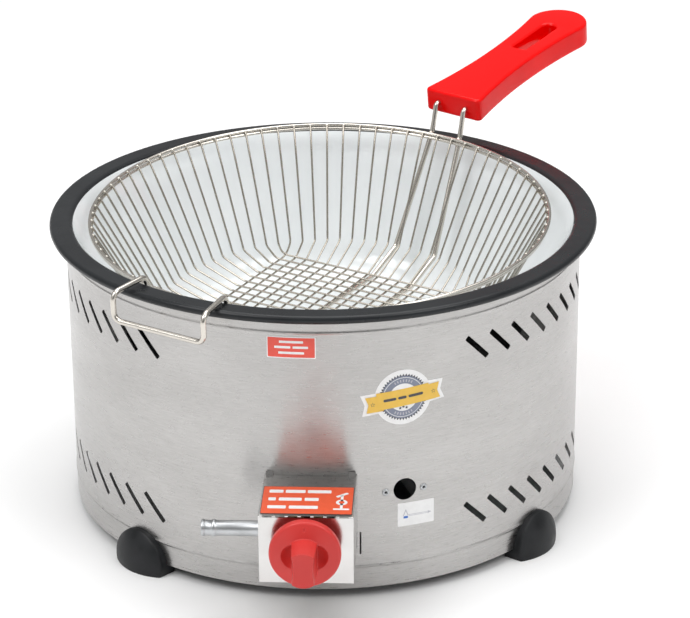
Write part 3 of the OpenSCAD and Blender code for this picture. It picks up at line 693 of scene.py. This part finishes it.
# ---------------------------------------------------------------- pan
def pan():
    """Enamelled pan: a rolled rim, a tight throat, a sloping wall and a flat floor."""
    slope = math.radians(PAN_SLOPE)
    wall_top = arc(*THROAT_AT, THROAT_R, 90, 180 - PAN_SLOPE, 1)[-1]
    turn_z = PAN_FLOOR + PAN_CORNER_R * (1 - math.sin(slope))
    floor_r = (wall_top[0] - (wall_top[1] - turn_z) * math.tan(slope)
               - PAN_CORNER_R * math.cos(slope))

    def side(t):
        """The profile from the throat to the centre, t outside the inner face."""
        points = arc(*THROAT_AT, THROAT_R - t, 90, 180 - PAN_SLOPE, 10)
        bend = arc(floor_r, PAN_FLOOR + PAN_CORNER_R, PAN_CORNER_R + t, -PAN_SLOPE, -90, 14)
        (x0, z0), (x1, z1) = points[-1], bend[0]
        points += [(x0 + (x1 - x0) * k / 24, z0 + (z1 - z0) * k / 24) for k in range(1, 24)]
        return points + bend + [(floor_r * k / 12, PAN_FLOOR - t) for k in range(11, -1, -1)]

    inner = side(0)
    roll = arc(RIM_R, ROLL_Z, ROLL_R, -222, 90, 36)
    rim = [(RIM_R - (RIM_R - THROAT_AT[0]) * k / 6, ROLL_Z + ROLL_R) for k in range(1, 6)]
    profile = roll + rim + inner + side(PAN_T)[-2::-1]
    first = len(roll) + len(rim) - 1
    last = first + len(inner)

    bm = bmesh.new()
    lathe(bm, profile, PAN_SIDES, closed=False)
    faces = list(bm.faces)
    for k in range(len(profile) - 1):
        white = first <= k < last and (profile[k][0] + profile[k + 1][0]) / 2 < ENAMEL_EDGE
        for f in faces[k * PAN_SIDES:(k + 1) * PAN_SIDES]:
            f.material_index = 0 if white else 1
    put("enamel_pan", bm, "pan", [WHITE_ENAMEL, DARK_ENAMEL], ["pan"], "pan_enamel", 60)


# ---------------------------------------------------------------- basket
def wall_point(r, phi, z):
    return Vector((r * math.sin(math.radians(phi)), r * math.cos(math.radians(phi)), z))


def basket_wire(i, level):
    phi = (i - (WIRE_COUNT - 1) / 2) * WIRE_STEP
    s = (i - (WIRE_COUNT - 1) / 2) * 2 * GRID_HALF / (WIRE_COUNT - 1)
    edge = GRID_HALF + GRID_OVER
    return [wall_point(WALL_R, phi, 0), wall_point(KNEE_R, phi, -KNEE_DROP),
            Vector((s, edge, level)), Vector((s, -edge, level)),
            wall_point(-KNEE_R, -phi, -KNEE_DROP), wall_point(-WALL_R, -phi, 0)]


def basket():
    for way, level, turn in (("long", LONG_Z, WEAVE_TURN), ("cross", CROSS_Z, WEAVE_TURN + 90)):
        bm = bmesh.new()
        matrix = IN_BASKET @ rotation(turn)
        beads = []
        for i in range(WIRE_COUNT):
            line = basket_wire(i, level)
            beads += [line[0], line[-1]]
            line = dense(fillet(line, WIRE_BEND, 6), 18 * MM)
            tube(bm, [matrix @ p for p in line], WIRE_R, 12)
        put("wires_" + way, bm, "basket", [NICKEL], ["basket_wires_" + way], "basket_wire", 60)
        bm = bmesh.new()
        for i, p in enumerate(beads):
            out = Vector((p.x, p.y, 0)).normalized()
            size = 1.0 + 0.15 * math.sin(i * 2.4)
            blob(bm, matrix @ (p + out * 0.9 * MM + Vector((0, 0, 0.3 * MM))),
                 (1.05 * MM * size, 1.05 * MM * size, 0.85 * MM), rings=7, sides=12)
            low = p - Vector((0, 0, LOWER_DROP)) - out * WALL_LEAN * LOWER_DROP
            blob(bm, matrix @ (low + out * 0.8 * MM), (0.9 * MM, 0.9 * MM, 0.8 * MM))
        put("weld_beads_" + way, bm, "basket", [NICKEL_BRIGHT], (), "basket_wire", 60)

    for name, r, wire, drop in (("top_ring", RING_R, RING_WIRE, 0),
                                ("lower_ring", LOWER_R, LOWER_WIRE, LOWER_DROP)):
        bm = bmesh.new()
        circle = [IN_BASKET @ wall_point(r, k * 1.5, -drop) for k in range(240)]
        tube(bm, circle, wire, 18, closed=True)
        blob(bm, IN_BASKET @ wall_point(r, 88, -drop), (wire * 1.12,) * 3, rings=8, sides=16)
        put(name, bm, "basket", [NICKEL_FRAME], ["basket_" + name], "basket_wire", 60)


def weld(bm, at, radii):
    blob(bm, IN_BASKET @ at, [r * MM for r in radii], IN_BASKET.to_3x3().to_4x4())


def handle_wire():
    """The long loop: out of the grip, down outside the ring, under the floor and back."""
    at_ring = math.sqrt(FRAME_R ** 2 - HANDLE_HALF ** 2)
    low_r = KNEE_R + WIRE_R + FRAME_WIRE + 0.6 * MM
    at_knee = math.sqrt(low_r ** 2 - HANDLE_HALF_LOW ** 2)

    def side(s):
        return [GRIP_FRAME @ Vector((s * HANDLE_HALF, 50 * MM, 0)),
                GRIP_FRAME @ Vector((s * HANDLE_HALF, -2.9 * MM, 0)),
                Vector((s * HANDLE_HALF, at_ring, 0)),
                Vector((s * HANDLE_HALF_LOW, at_knee, -KNEE_DROP - 2 * MM)),
                Vector((s * HANDLE_HALF_LOW, GRID_HALF + 4 * MM, UNDER_Z)),
                Vector((s * HANDLE_HALF_LOW, -GRID_HALF + 22 * MM, UNDER_Z))]

    bends = [0, 3.6 * MM] + [FRAME_BEND] * 8 + [3.6 * MM, 0]
    line = dense(fillet(side(1) + side(-1)[::-1], bends, 10), 20 * MM)
    bm = bmesh.new()
    tube(bm, [IN_BASKET @ p for p in line], FRAME_WIRE, 20)
    put("handle_wire", bm, "basket", [NICKEL_FRAME], ["basket_handle_wire"], "basket_wire", 60)
    bm = bmesh.new()
    for s in (-1, 1):
        weld(bm, Vector((s * HANDLE_HALF, at_ring - 2.1 * MM, 0.3 * MM)), (1.6, 1.5, 1.4))
        weld(bm, Vector((s * HANDLE_HALF * 1.02, at_ring - 3.6 * MM, -LOWER_DROP)), (1.4, 1.4, 1.2))
        for k in range(8):
            y = GRID_HALF - (9 + k * 18.6) * MM
            blob(bm, IN_BASKET @ Vector((s * HANDLE_HALF_LOW, y, UNDER_Z + 1.9 * MM)),
                 (1.1 * MM, 1.1 * MM, 0.8 * MM))
        at_hook = math.sqrt(FRAME_R ** 2 - HOOK_HALF_IN ** 2)
        weld(bm, rotation(WEAVE_TURN) @ Vector((s * HOOK_HALF_IN, 2.1 * MM - at_hook, 0.3 * MM)),
             (1.6, 1.5, 1.4))
    put("frame_welds", bm, "basket", [NICKEL_BRIGHT], (), "basket_wire", 60)


def rest_hook():
    """The bent loop that hangs the basket on the pan's rim, wider at its crossbar."""
    at_ring = -math.sqrt(FRAME_R ** 2 - HOOK_HALF_IN ** 2)
    half = [Vector((HOOK_HALF_IN, at_ring + HOOK_LEG * WALL_LEAN, -HOOK_LEG)),
            Vector((HOOK_HALF_IN, at_ring - HOOK_OUT - WALL_LEAN * HOOK_TOP, HOOK_TOP)),
            Vector((HOOK_HALF, -HOOK_REACH, HOOK_TOP)),
            Vector((HOOK_HALF, -HOOK_REACH, HOOK_TOP - HOOK_DROP))]
    other = [Vector((-p.x, p.y, p.z)) for p in reversed(half)]
    line = dense(fillet(half + other, HOOK_BEND, 10), 15 * MM)
    bm = bmesh.new()
    tube(bm, [IN_BASKET @ rotation(WEAVE_TURN) @ p for p in line], FRAME_WIRE, 20)
    put("rest_hook", bm, "basket", [NICKEL_FRAME], ["basket_rest_hook"], "basket_wire", 60)


def grip():
    """Moulded grip: waisted plate with a round end and a hang slot, all its edges rounded."""
    end_y = GRIP_LEN - GRIP_END_R

    def half_width(y):
        bulge = GRIP_SIDE_R - math.sqrt(GRIP_SIDE_R ** 2 - (y - GRIP_WAIST_AT) ** 2)
        waisted = GRIP_WAIST / 2 + bulge
        reach = math.sqrt(max(GRIP_END_R ** 2 - max(y - end_y, 0) ** 2, 0))
        return min(GRIP_W / 2, waisted, reach if y > end_y - 12 * MM else waisted)

    steps = 44
    heights = [(end_y + GRIP_END_R * 0.35) * k / steps for k in range(steps + 1)]
    side = [(half_width(y), y) for y in heights]
    first_turn = math.degrees(math.asin((heights[-1] - end_y) / GRIP_END_R))
    side += arc(0, end_y, GRIP_END_R, first_turn, 90, 18)[1:]
    front = fillet([(0, 0, 0), (side[0][0], 0, 0), (*side[4], 0)], 4 * MM, 6)
    right = [(p.x, p.y) for p in front[1:-1]] + side[4:]
    outline = right + [(-x, y) for x, y in reversed(right[:-1])]

    low, high, slot_r = GRIP_SLOT
    inside = low + 6 * MM
    square_end = fillet([(-slot_r, inside, 0), (-slot_r, low, 0), (slot_r, low, 0),
                         (slot_r, inside, 0)], 1.4 * MM, 5)[1:-1]
    hole = [(p.x, p.y) for p in square_end] + arc(0, high - slot_r, slot_r, 0, 180, 20)

    curve = bpy.data.curves.new("grip_outline", "CURVE")
    curve.dimensions = "2D"
    curve.fill_mode = "BOTH"
    for points in (outline, hole):
        spline = curve.splines.new("POLY")
        spline.points.add(len(points) - 1)
        for p, (x, y) in zip(spline.points, points):
            p.co = (x, y, 0, 1)
        spline.use_cyclic_u = True
    curve.extrude = GRIP_T / 2 - GRIP_EDGE
    curve.bevel_depth = GRIP_EDGE
    curve.bevel_resolution = 6
    curve.offset = -GRIP_EDGE
    mesh = baked(add_object("grip_outline", curve))
    bpy.data.curves.remove(curve)
    bm = bmesh.new()
    bm.from_mesh(mesh)
    bmesh.ops.remove_doubles(bm, verts=bm.verts, dist=0.00002)
    bmesh.ops.recalc_face_normals(bm, faces=bm.faces)
    bm.to_mesh(mesh)
    bm.free()
    mesh.materials.clear()
    mesh.transform(IN_GRIP)
    place("handle_grip", mesh, "basket", [GRIP_RED], ["basket_handle_grip"], "grip_plastic", 40)

    # moulded lips where the wires go into the grip
    bm = bmesh.new()
    lip = in_mm([(2.08, 0.05), (2.9, 0.05), (3.2, 0.2), (3.3, 0.6), (3.3, 1.5), (2.08, 1.5)])
    for x in (-HANDLE_HALF, HANDLE_HALF):
        made_at(IN_GRIP @ shift(x, -0.2 * MM, 0) @ rotation(-90, "X"), lathe, bm, lip, 28)
    put("grip_collars", bm, "basket", [GRIP_RED], (), "grip_plastic", 40)


# ---------------------------------------------------------------- tap
def knob():
    """Moulded knob: a disc with a waisted grip bar and a dish on each side of it."""
    bm = bmesh.new()
    r, face = KNOB_R / MM, KNOB_FACE / MM
    lathe(bm, in_mm([(0, 0), (r - 1.6, 0), (r - 0.4, 0.4), (r, 1.6), (r, 5.2), (r - 0.3, 6.0),
                     (r - 1.2, 6.7), (13.5, face), (0, face)]), 160, closed=False)
    body = scratch(bm)
    bm = bmesh.new()
    for x in (-KNOB_DISH_X, KNOB_DISH_X):
        made_at(shift(x, 0, KNOB_FACE + KNOB_DISH_UP), ball, bm, KNOB_DISH_R, 3, 120)
    # the pointer line
    block(bm, (-0.45 * MM, 18 * MM, 6.9 * MM), (0.45 * MM, 21 * MM, 12 * MM))
    body = add_object("disc", combined(body, scratch(bm), use_self=True))

    (low, high), (low_r, high_r) = KNOB_BAR_Z, KNOB_BAR_R
    bm = bmesh.new()
    cone(bm, low_r, low, high_r, high, 120)
    bar = scratch(bm)
    low, high = low - 2 * MM, high + 2 * MM
    bm = bmesh.new()
    for x in (-KNOB_WAIST_X, KNOB_WAIST_X):
        made_at(shift(x, 0, 0), cone, bm, KNOB_WAIST_R[0], low, KNOB_WAIST_R[1], high, 360)
    bar = add_object("bar", combined(bar, scratch(bm)))
    mesh = softened(add_object("knob", combined(body, bar, "UNION")), KNOB_VOXEL, 7)
    mesh.transform(shift(0, -KNOB_BACK, KNOB_Z) @ rotation(90, "X"))
    place("tap_knob", mesh, "tap", [KNOB_RED], ["knob"], "knob_plastic", 60)


def cover():
    """Folded sheet box over the tap: slits along its front bend, two tabs through the casing."""
    w, t = COVER_W / 2, COVER_T

    def lies_on(edge, axis, level):
        return all(abs(v.co[axis] - level) < 1e-6 for v in edge.verts)

    bm = bmesh.new()
    block(bm, (-w, -COVER_FRONT, COVER_BOTTOM), (w, COVER_BACK, COVER_TOP))
    bmesh.ops.bevel(bm, geom=[e for e in bm.edges
                              if lies_on(e, 1, -COVER_FRONT) or lies_on(e, 2, COVER_TOP)],
                    offset=COVER_FOLD, segments=4, profile=0.5, affect="EDGES")
    outer = scratch(bm)

    # the inside of the box, the casing behind it, and the holes for the spindle and the inlet
    bm = bmesh.new()
    block(bm, (-w + t, -COVER_FRONT + t, COVER_BOTTOM - 5 * MM),
          (w - t, COVER_BACK + 30 * MM, COVER_TOP - t))
    r_in, r_out, past = 100 * MM, CASING_R + 0.15 * MM, 120 * MM
    lathe(bm, [(r_in, 0), (r_out, 0), (r_out, past), (r_in, past)], CASING_SIDES)
    made_at(facing(0, COVER_FRONT, KNOB_Z),
            prism, bm, disc(COVER_SPINDLE_R, 40), -COVER_CUT, COVER_CUT)
    made_at(shift(-w, -INLET_Y, KNOB_Z) @ rotation(90, "Y"),
            prism, bm, disc(COVER_INLET_R, 40), -COVER_CUT, COVER_CUT)
    inner = scratch(bm)

    bm = bmesh.new()
    long, flat, deep = SLIT_HALF
    on_bend = shift(0, -COVER_FRONT + 0.1 * MM, COVER_TOP - 0.1 * MM) @ rotation(45, "X")
    for k in range(SLIT_COUNT):
        x = (k - SLIT_COUNT // 2) * SLIT_PITCH * MM
        made_at(on_bend, block, bm, (x - long, -flat, -deep), (x + long, flat, deep))
    slit = add_object("slit", combined(outer, scratch(bm)))
    mesh = combined(slit, inner, use_self=True)

    bm = bmesh.new()
    bm.from_mesh(mesh)
    for x in (TAB_IN - w, w - TAB_IN):
        block(bm, (x - TAB_HALF, TAB_Y[0], COVER_TOP - t),
              (x + TAB_HALF, TAB_Y[1], COVER_TOP + TAB_UP))
    bm.to_mesh(mesh)
    bm.free()
    place("tap_cover", mesh, "fryer", [COVER], ["valve_cover"], "cover_steel", 30)


def nipple():
    """Ribbed hose nipple."""
    bm = bmesh.new()
    profile = in_mm([
        (2.9, 24.1), (7.7, 24.1), (7.9, 24.6), (7.9, 29.4), (7.6, 30.1), (5.6, 30.2), (5.35, 30.6),
        (5.35, 62.0), (5.5, 62.3), (5.85, 62.8), (5.9, 63.9), (5.85, 64.9), (5.5, 65.3),
        (5.32, 65.6), (5.32, 69.9), (5.6, 70.2), (5.88, 70.6), (5.9, 71.4), (5.7, 72.1),
        (5.2, 72.4), (3.6, 72.4), (3.1, 72.2), (2.95, 71.8)])
    made_at(shift(0, -INLET_Y, KNOB_Z) @ rotation(-90, "Y"), lathe, bm, profile, 64)
    put("hose_nipple", bm, "fryer", [ZINC], ["gas_inlet_nipple"], "zinc_steel", 40)


# ---------------------------------------------------------------- labels
def on_casing(az, z):
    """Bends flat points (x right, y up, z out of the sheet, in metres) round the casing."""
    def bend(p):
        a = math.radians(az) + p.x / CASING_R
        r = CASING_R + p.z
        return Vector((r * math.sin(a), -r * math.cos(a), z + p.y))
    return bend


def on_cover(p):
    return Vector((p.x, -COVER_FRONT + LABEL_BACK + p.y, COVER_TOP + p.z))


def film(bend):
    """A new mesh, and a call that prints on it."""
    bm = bmesh.new()

    def ink(outline, index, layer, turn=0.0, at=(0, 0), thick=0.06):
        """A flat shape in mm, from layer up, cut into strips so that it can bend."""
        bits = bmesh.new()
        made_at(shift(*at, 0) @ rotation(turn), prism, bits, outline, layer, layer + thick)
        x = math.ceil(min(v.co.x for v in bits.verts) / FILM_STRIP) * FILM_STRIP
        high = max(v.co.x for v in bits.verts)
        while x < high:
            bmesh.ops.bisect_plane(bits, geom=bits.verts[:] + bits.edges[:] + bits.faces[:],
                                   plane_co=(x, 0, 0), plane_no=(1, 0, 0), dist=1e-5)
            x += FILM_STRIP
        made = {v: bm.verts.new(bend(v.co * MM)) for v in bits.verts}
        for f in bits.faces:
            bm.faces.new([made[v] for v in f.verts]).material_index = index
        bits.free()

    return bm, ink


def star(r, inner):
    return [(q * math.sin(math.pi * k / 5), q * math.cos(math.pi * k / 5))
            for k, q in enumerate((r, inner) * 5)]


def labels():
    # the notice on the cover: print as plain bars, and a tap sign
    bm, ink = film(on_cover)
    ink(card(62, 40.5), 0, 0.05, at=(0, 20.25), thick=0.2)
    ink(card(61.0, 39.5), 1, 0.25, at=(0, 20.25))
    lines = (((-26.5, 9.5), (-15.5, 13.5), (-0.5, 16.0)),
             ((-26.5, 5.0), (-19.5, 15.5), (-2.0, 9.5)),
             ((-26.5, 12.5), (-12.0, 19.5)))
    for row, words in enumerate(lines):
        y = 33.0 - row * 11.6
        for x, length in words:
            ink(card(length, 4.4, 0.8), 2, 0.31, at=(x + length / 2, y))
    ink(card(11.0, 2.2, 0.8), 2, 0.31, at=(23.2, 7.6))
    ink(card(1.8, 19.5, 0.6), 2, 0.31, at=(23.2, 18.3))
    ink(card(9.5, 2.4, 0.6), 2, 0.31, at=(23.2, 28.4), turn=38)
    ink(disc(3.9, 28), 2, 0.31, at=(23.2, 17.6))
    ink(disc(1.9, 20), 1, 0.37, at=(23.2, 17.6))
    put("cover_notice", bm, "fryer", [DARK_FILM, ORANGE, LABEL_WHITE],
        ["cover_label"], "label_orange", 30)

    # the red notice under the rim
    bm, ink = film(on_casing(-3.7, 192.4 * MM))
    ink(card(33.4, 15.8), 0, 0.05, thick=0.15)
    ink(card(32.0, 14.4, 0.4), 1, 0.2)
    for x, length, y in ((-8.2, 16.4, 4.1), (-11.5, 11.0, 0.2), (1.0, 10.5, 0.2),
                         (-8.8, 17.6, -3.9)):
        ink(card(length, 1.7, 0.4), 2, 0.26, at=(x + length / 2, y))
    put("caution_notice", bm, "fryer", [LABEL_WHITE, WARN_RED, LABEL_WHITE],
        ["caution_label"], "label_red", 30)

    # the round seal with its ribbon: rings, ticks and stars only
    bm, ink = film(on_casing(19.6, 152 * MM))
    tilt = 5
    ink(disc(20.4, 96), 0, 0.05, thick=0.12)
    tails = [(-29.8, -9.4), (-19, -8.9), (-15, -8.2), (15, -8.2), (29.8, -7.6), (27.4, -0.4),
             (29.8, 6.9), (15, 8.3), (-15, 8.3), (-19, 6.6), (-29.8, 6.2), (-27.4, -1.4)]
    ink(tails, 0, 0.06, turn=tilt, thick=0.12)
    ink(disc(15.7, 100, 1.7), 2, 0.19)
    ink(disc(15.7, 80), 1, 0.26)
    ink(disc(14.7, 80), 0, 0.33, thick=0.03)
    ink(disc(14.3, 80), 1, 0.37)
    for centre in (90, 270):
        for k in range(7):
            a = centre + (k - 3) * 9.5
            ink(card(0.75, 1.9, 0.2), 3, 0.44, turn=a - 90,
                at=(12.3 * math.cos(math.radians(a)), 12.3 * math.sin(math.radians(a))))
    ink(disc(10.2, 64), 0, 0.44)
    for x, y in ((-2.3, -7.9), (0, -7.1), (2.3, -7.9)):
        ink(star(1.25, 0.55), 2, 0.51, at=(x, y))
    for s, drop in ((-1, 1.3), (1, 0.4)):
        tail = [(s * x, y - drop) for x, y in
                ((26.6, -6.0), (14.6, -6.0), (14.6, 5.6), (26.6, 5.6), (24.8, -0.2))]
        ink(tail[::-s], 4, 0.51, turn=tilt)
        fold = [(s * 18.5, -6.3), (s * 14.8, -6.3), (s * 14.8, -6.0 - drop)]
        ink(fold[::-s], 5, 0.56, turn=tilt)
    ink(card(37.6, 12.8, 0.3), 4, 0.58, turn=tilt)
    c, s = math.cos(math.radians(tilt)), math.sin(math.radians(tilt))
    for x, length in ((-14.2, 9.0), (-3.8, 6.0), (3.6, 10.6)):
        mid = x + length / 2
        ink(card(length, 2.0, 0.9), 2, 0.65, turn=tilt, at=(mid * c, mid * s))
    for x, drop in ((-21.8, 1.5), (21.8, 0.6)):
        at = (x * c + drop * s, x * s - drop * c)
        ink(star(1.7, 0.75), 2, 0.58, turn=tilt, at=at)
        ink(star(1.15, 0.5), 4, 0.64, turn=tilt, at=at)
    inks = [LABEL_WHITE, INK_GREY, INK_DARK, INK_PALE, INK_YELLOW, INK_AMBER]
    put("round_seal", bm, "fryer", inks, ["quality_seal"], "label_blue_grey", 30)

    # the lighting label: a drop of flame and a match
    bm, ink = film(on_casing(22.5, 62 * MM))
    ink(card(27, 18, 0.6), 0, 0.05, thick=0.2)
    ink(card(3.2, 1.7, 0.3), 1, 0.25, at=(-7.6, -2.2))
    ink([(-9.6, -0.9), (-7.6, 4.0), (-5.6, -0.9), (-6.2, -0.9), (-7.6, 2.6), (-9.0, -0.9)], 2, 0.25)
    ink(card(14.5, 0.35, 0.1), 2, 0.25, at=(1.7, -0.5))
    ink(card(14.5, 0.35, 0.1), 2, 0.25, at=(1.7, -1.4))
    ink([(8.9, -2.0), (11.6, -0.95), (8.9, 0.1)], 2, 0.25)
    put("lighting_label", bm, "fryer", [LABEL_WHITE, INK_BLUE, INK_PALE],
        ["match_label"], "label_white", 30)


CAD_LOOKS = {
    "valve_body": BRASS, "valve_bonnet": BRASS, "injector": BRASS, "valve_plug": BRASS,
    "bonnet_screws": ZINC, "burner_bracket": ZINC, "burner_bolt": ZINC, "burner_nut": ZINC,
    "valve_spring": ZINC, "burner_casting": IRON, "burner_cap": IRON}


def cad_looks():
    for node, material in CAD_LOOKS.items():
        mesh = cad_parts[node].data
        mesh.materials.clear()
        mesh.materials.append(material)


# ---------------------------------------------------------------- studio
CAMERA_AT = Vector((0.10266, -1.84807, 0.92612))
CAMERA_AXES = ((0.99899, 0.04439, -0.00641), (-0.01144, 0.39044, 0.92056),
               (0.04337, -0.91956, 0.39055))
CAMERA_FOCAL = 2700 / 690    # in widths of the picture
WORLD_BANDS = ((-180, 0.30), (-140, 0.45), (-100, 0.40), (-58, 1.10), (-30, 0.45), (2, 0.06),
               (28, 0.32), (56, 1.10), (84, 0.45), (120, 0.25), (179, 0.30))
WORLD_TOP = 0.9
WORLD_STRENGTH = 0.7
LIGHTS = (
    ("key", (-1.5, -1.3, 2.4), (0, 0, 0.1), (1.5, 1.2), 30),
    ("fill", (1.6, -1.2, 2.2), (0, 0, 0.1), (1.4, 1.2), 20),
    ("top", (0.1, 0.4, 2.4), (0, 0, 0.1), (2.0, 2.0), 36),
)


def studio():
    bm = bmesh.new()
    lathe(bm, [(r, 0) for r in (0, 0.5, 1, 2, 4, 8, 14)], 64, closed=False)
    mesh = bpy.data.meshes.new("floor")
    bm.to_mesh(mesh)
    bm.free()
    floor = add_object("floor", mesh)
    s = Shade("pale_floor", (0.93, 0.93, 0.93), 0.0, 0.75)
    s.colour(s.spread(s.noise(3.0, 2.0), 0.0, 1.0), (0.93, 0.93, 0.93), (0.95, 0.95, 0.95))
    mesh.materials.append(s.material)

    world = bpy.data.worlds.new("studio")
    world.use_nodes = True
    bpy.context.scene.world = world
    sky = Nodes(world.node_tree)
    coord = sky.add("ShaderNodeTexCoord").outputs["Generated"]
    x, y, z = sky.add("ShaderNodeSeparateXYZ", {0: coord}).outputs
    az = sky.math("ARCTAN2", x, sky.math("MULTIPLY", y, -1.0))
    turn = sky.math("ADD", sky.math("DIVIDE", az, 2 * math.pi), 0.5)
    ramp = sky.add("ShaderNodeValToRGB", {0: turn})
    elements = ramp.color_ramp.elements
    while len(elements) > 1:
        elements.remove(elements[0])
    elements[0].position = (WORLD_BANDS[0][0] + 180) / 360
    elements[0].color = (WORLD_BANDS[0][1],) * 3 + (1,)
    for angle, level in WORLD_BANDS[1:]:
        e = elements.new((angle + 180) / 360)
        e.color = (level, level, level, 1)
    ramp.color_ramp.interpolation = "EASE"
    up = sky.math("MAXIMUM", z, 0.0)
    side = sky.math("MULTIPLY", ramp.outputs[0], sky.math("SUBTRACT", 1.0, up))
    level = sky.math("ADD", side, sky.math("MULTIPLY", up, WORLD_TOP))
    background = sky.tree.nodes["Background"]
    sky.set(background, "Color", level)
    sky.set(background, "Strength", WORLD_STRENGTH)

    for name, at, target, size, power in LIGHTS:
        light = bpy.data.lights.new(name, "AREA")
        light.shape = "RECTANGLE"
        light.size, light.size_y = size
        light.energy = power
        obj = add_object(name, light)
        obj.location = at
        obj.rotation_euler = (Vector(target) - Vector(at)).to_track_quat("-Z", "Y").to_euler()

    camera = bpy.data.cameras.new("camera")
    camera.sensor_width = 36
    camera.lens = camera.sensor_width * CAMERA_FOCAL
    camera.clip_end = 50
    obj = add_object("camera", camera)
    obj.matrix_world = Matrix.Translation(CAMERA_AT) @ Matrix(CAMERA_AXES).transposed().to_4x4()
    bpy.context.scene.camera = obj
    bpy.context.scene.view_settings.view_transform = "Standard"


casing()
casing_seam()
rivets()
feet()
pan()
basket()
handle_wire()
rest_hook()
grip()
knob()
cover()
nipple()
labels()
cad_looks()
studio()
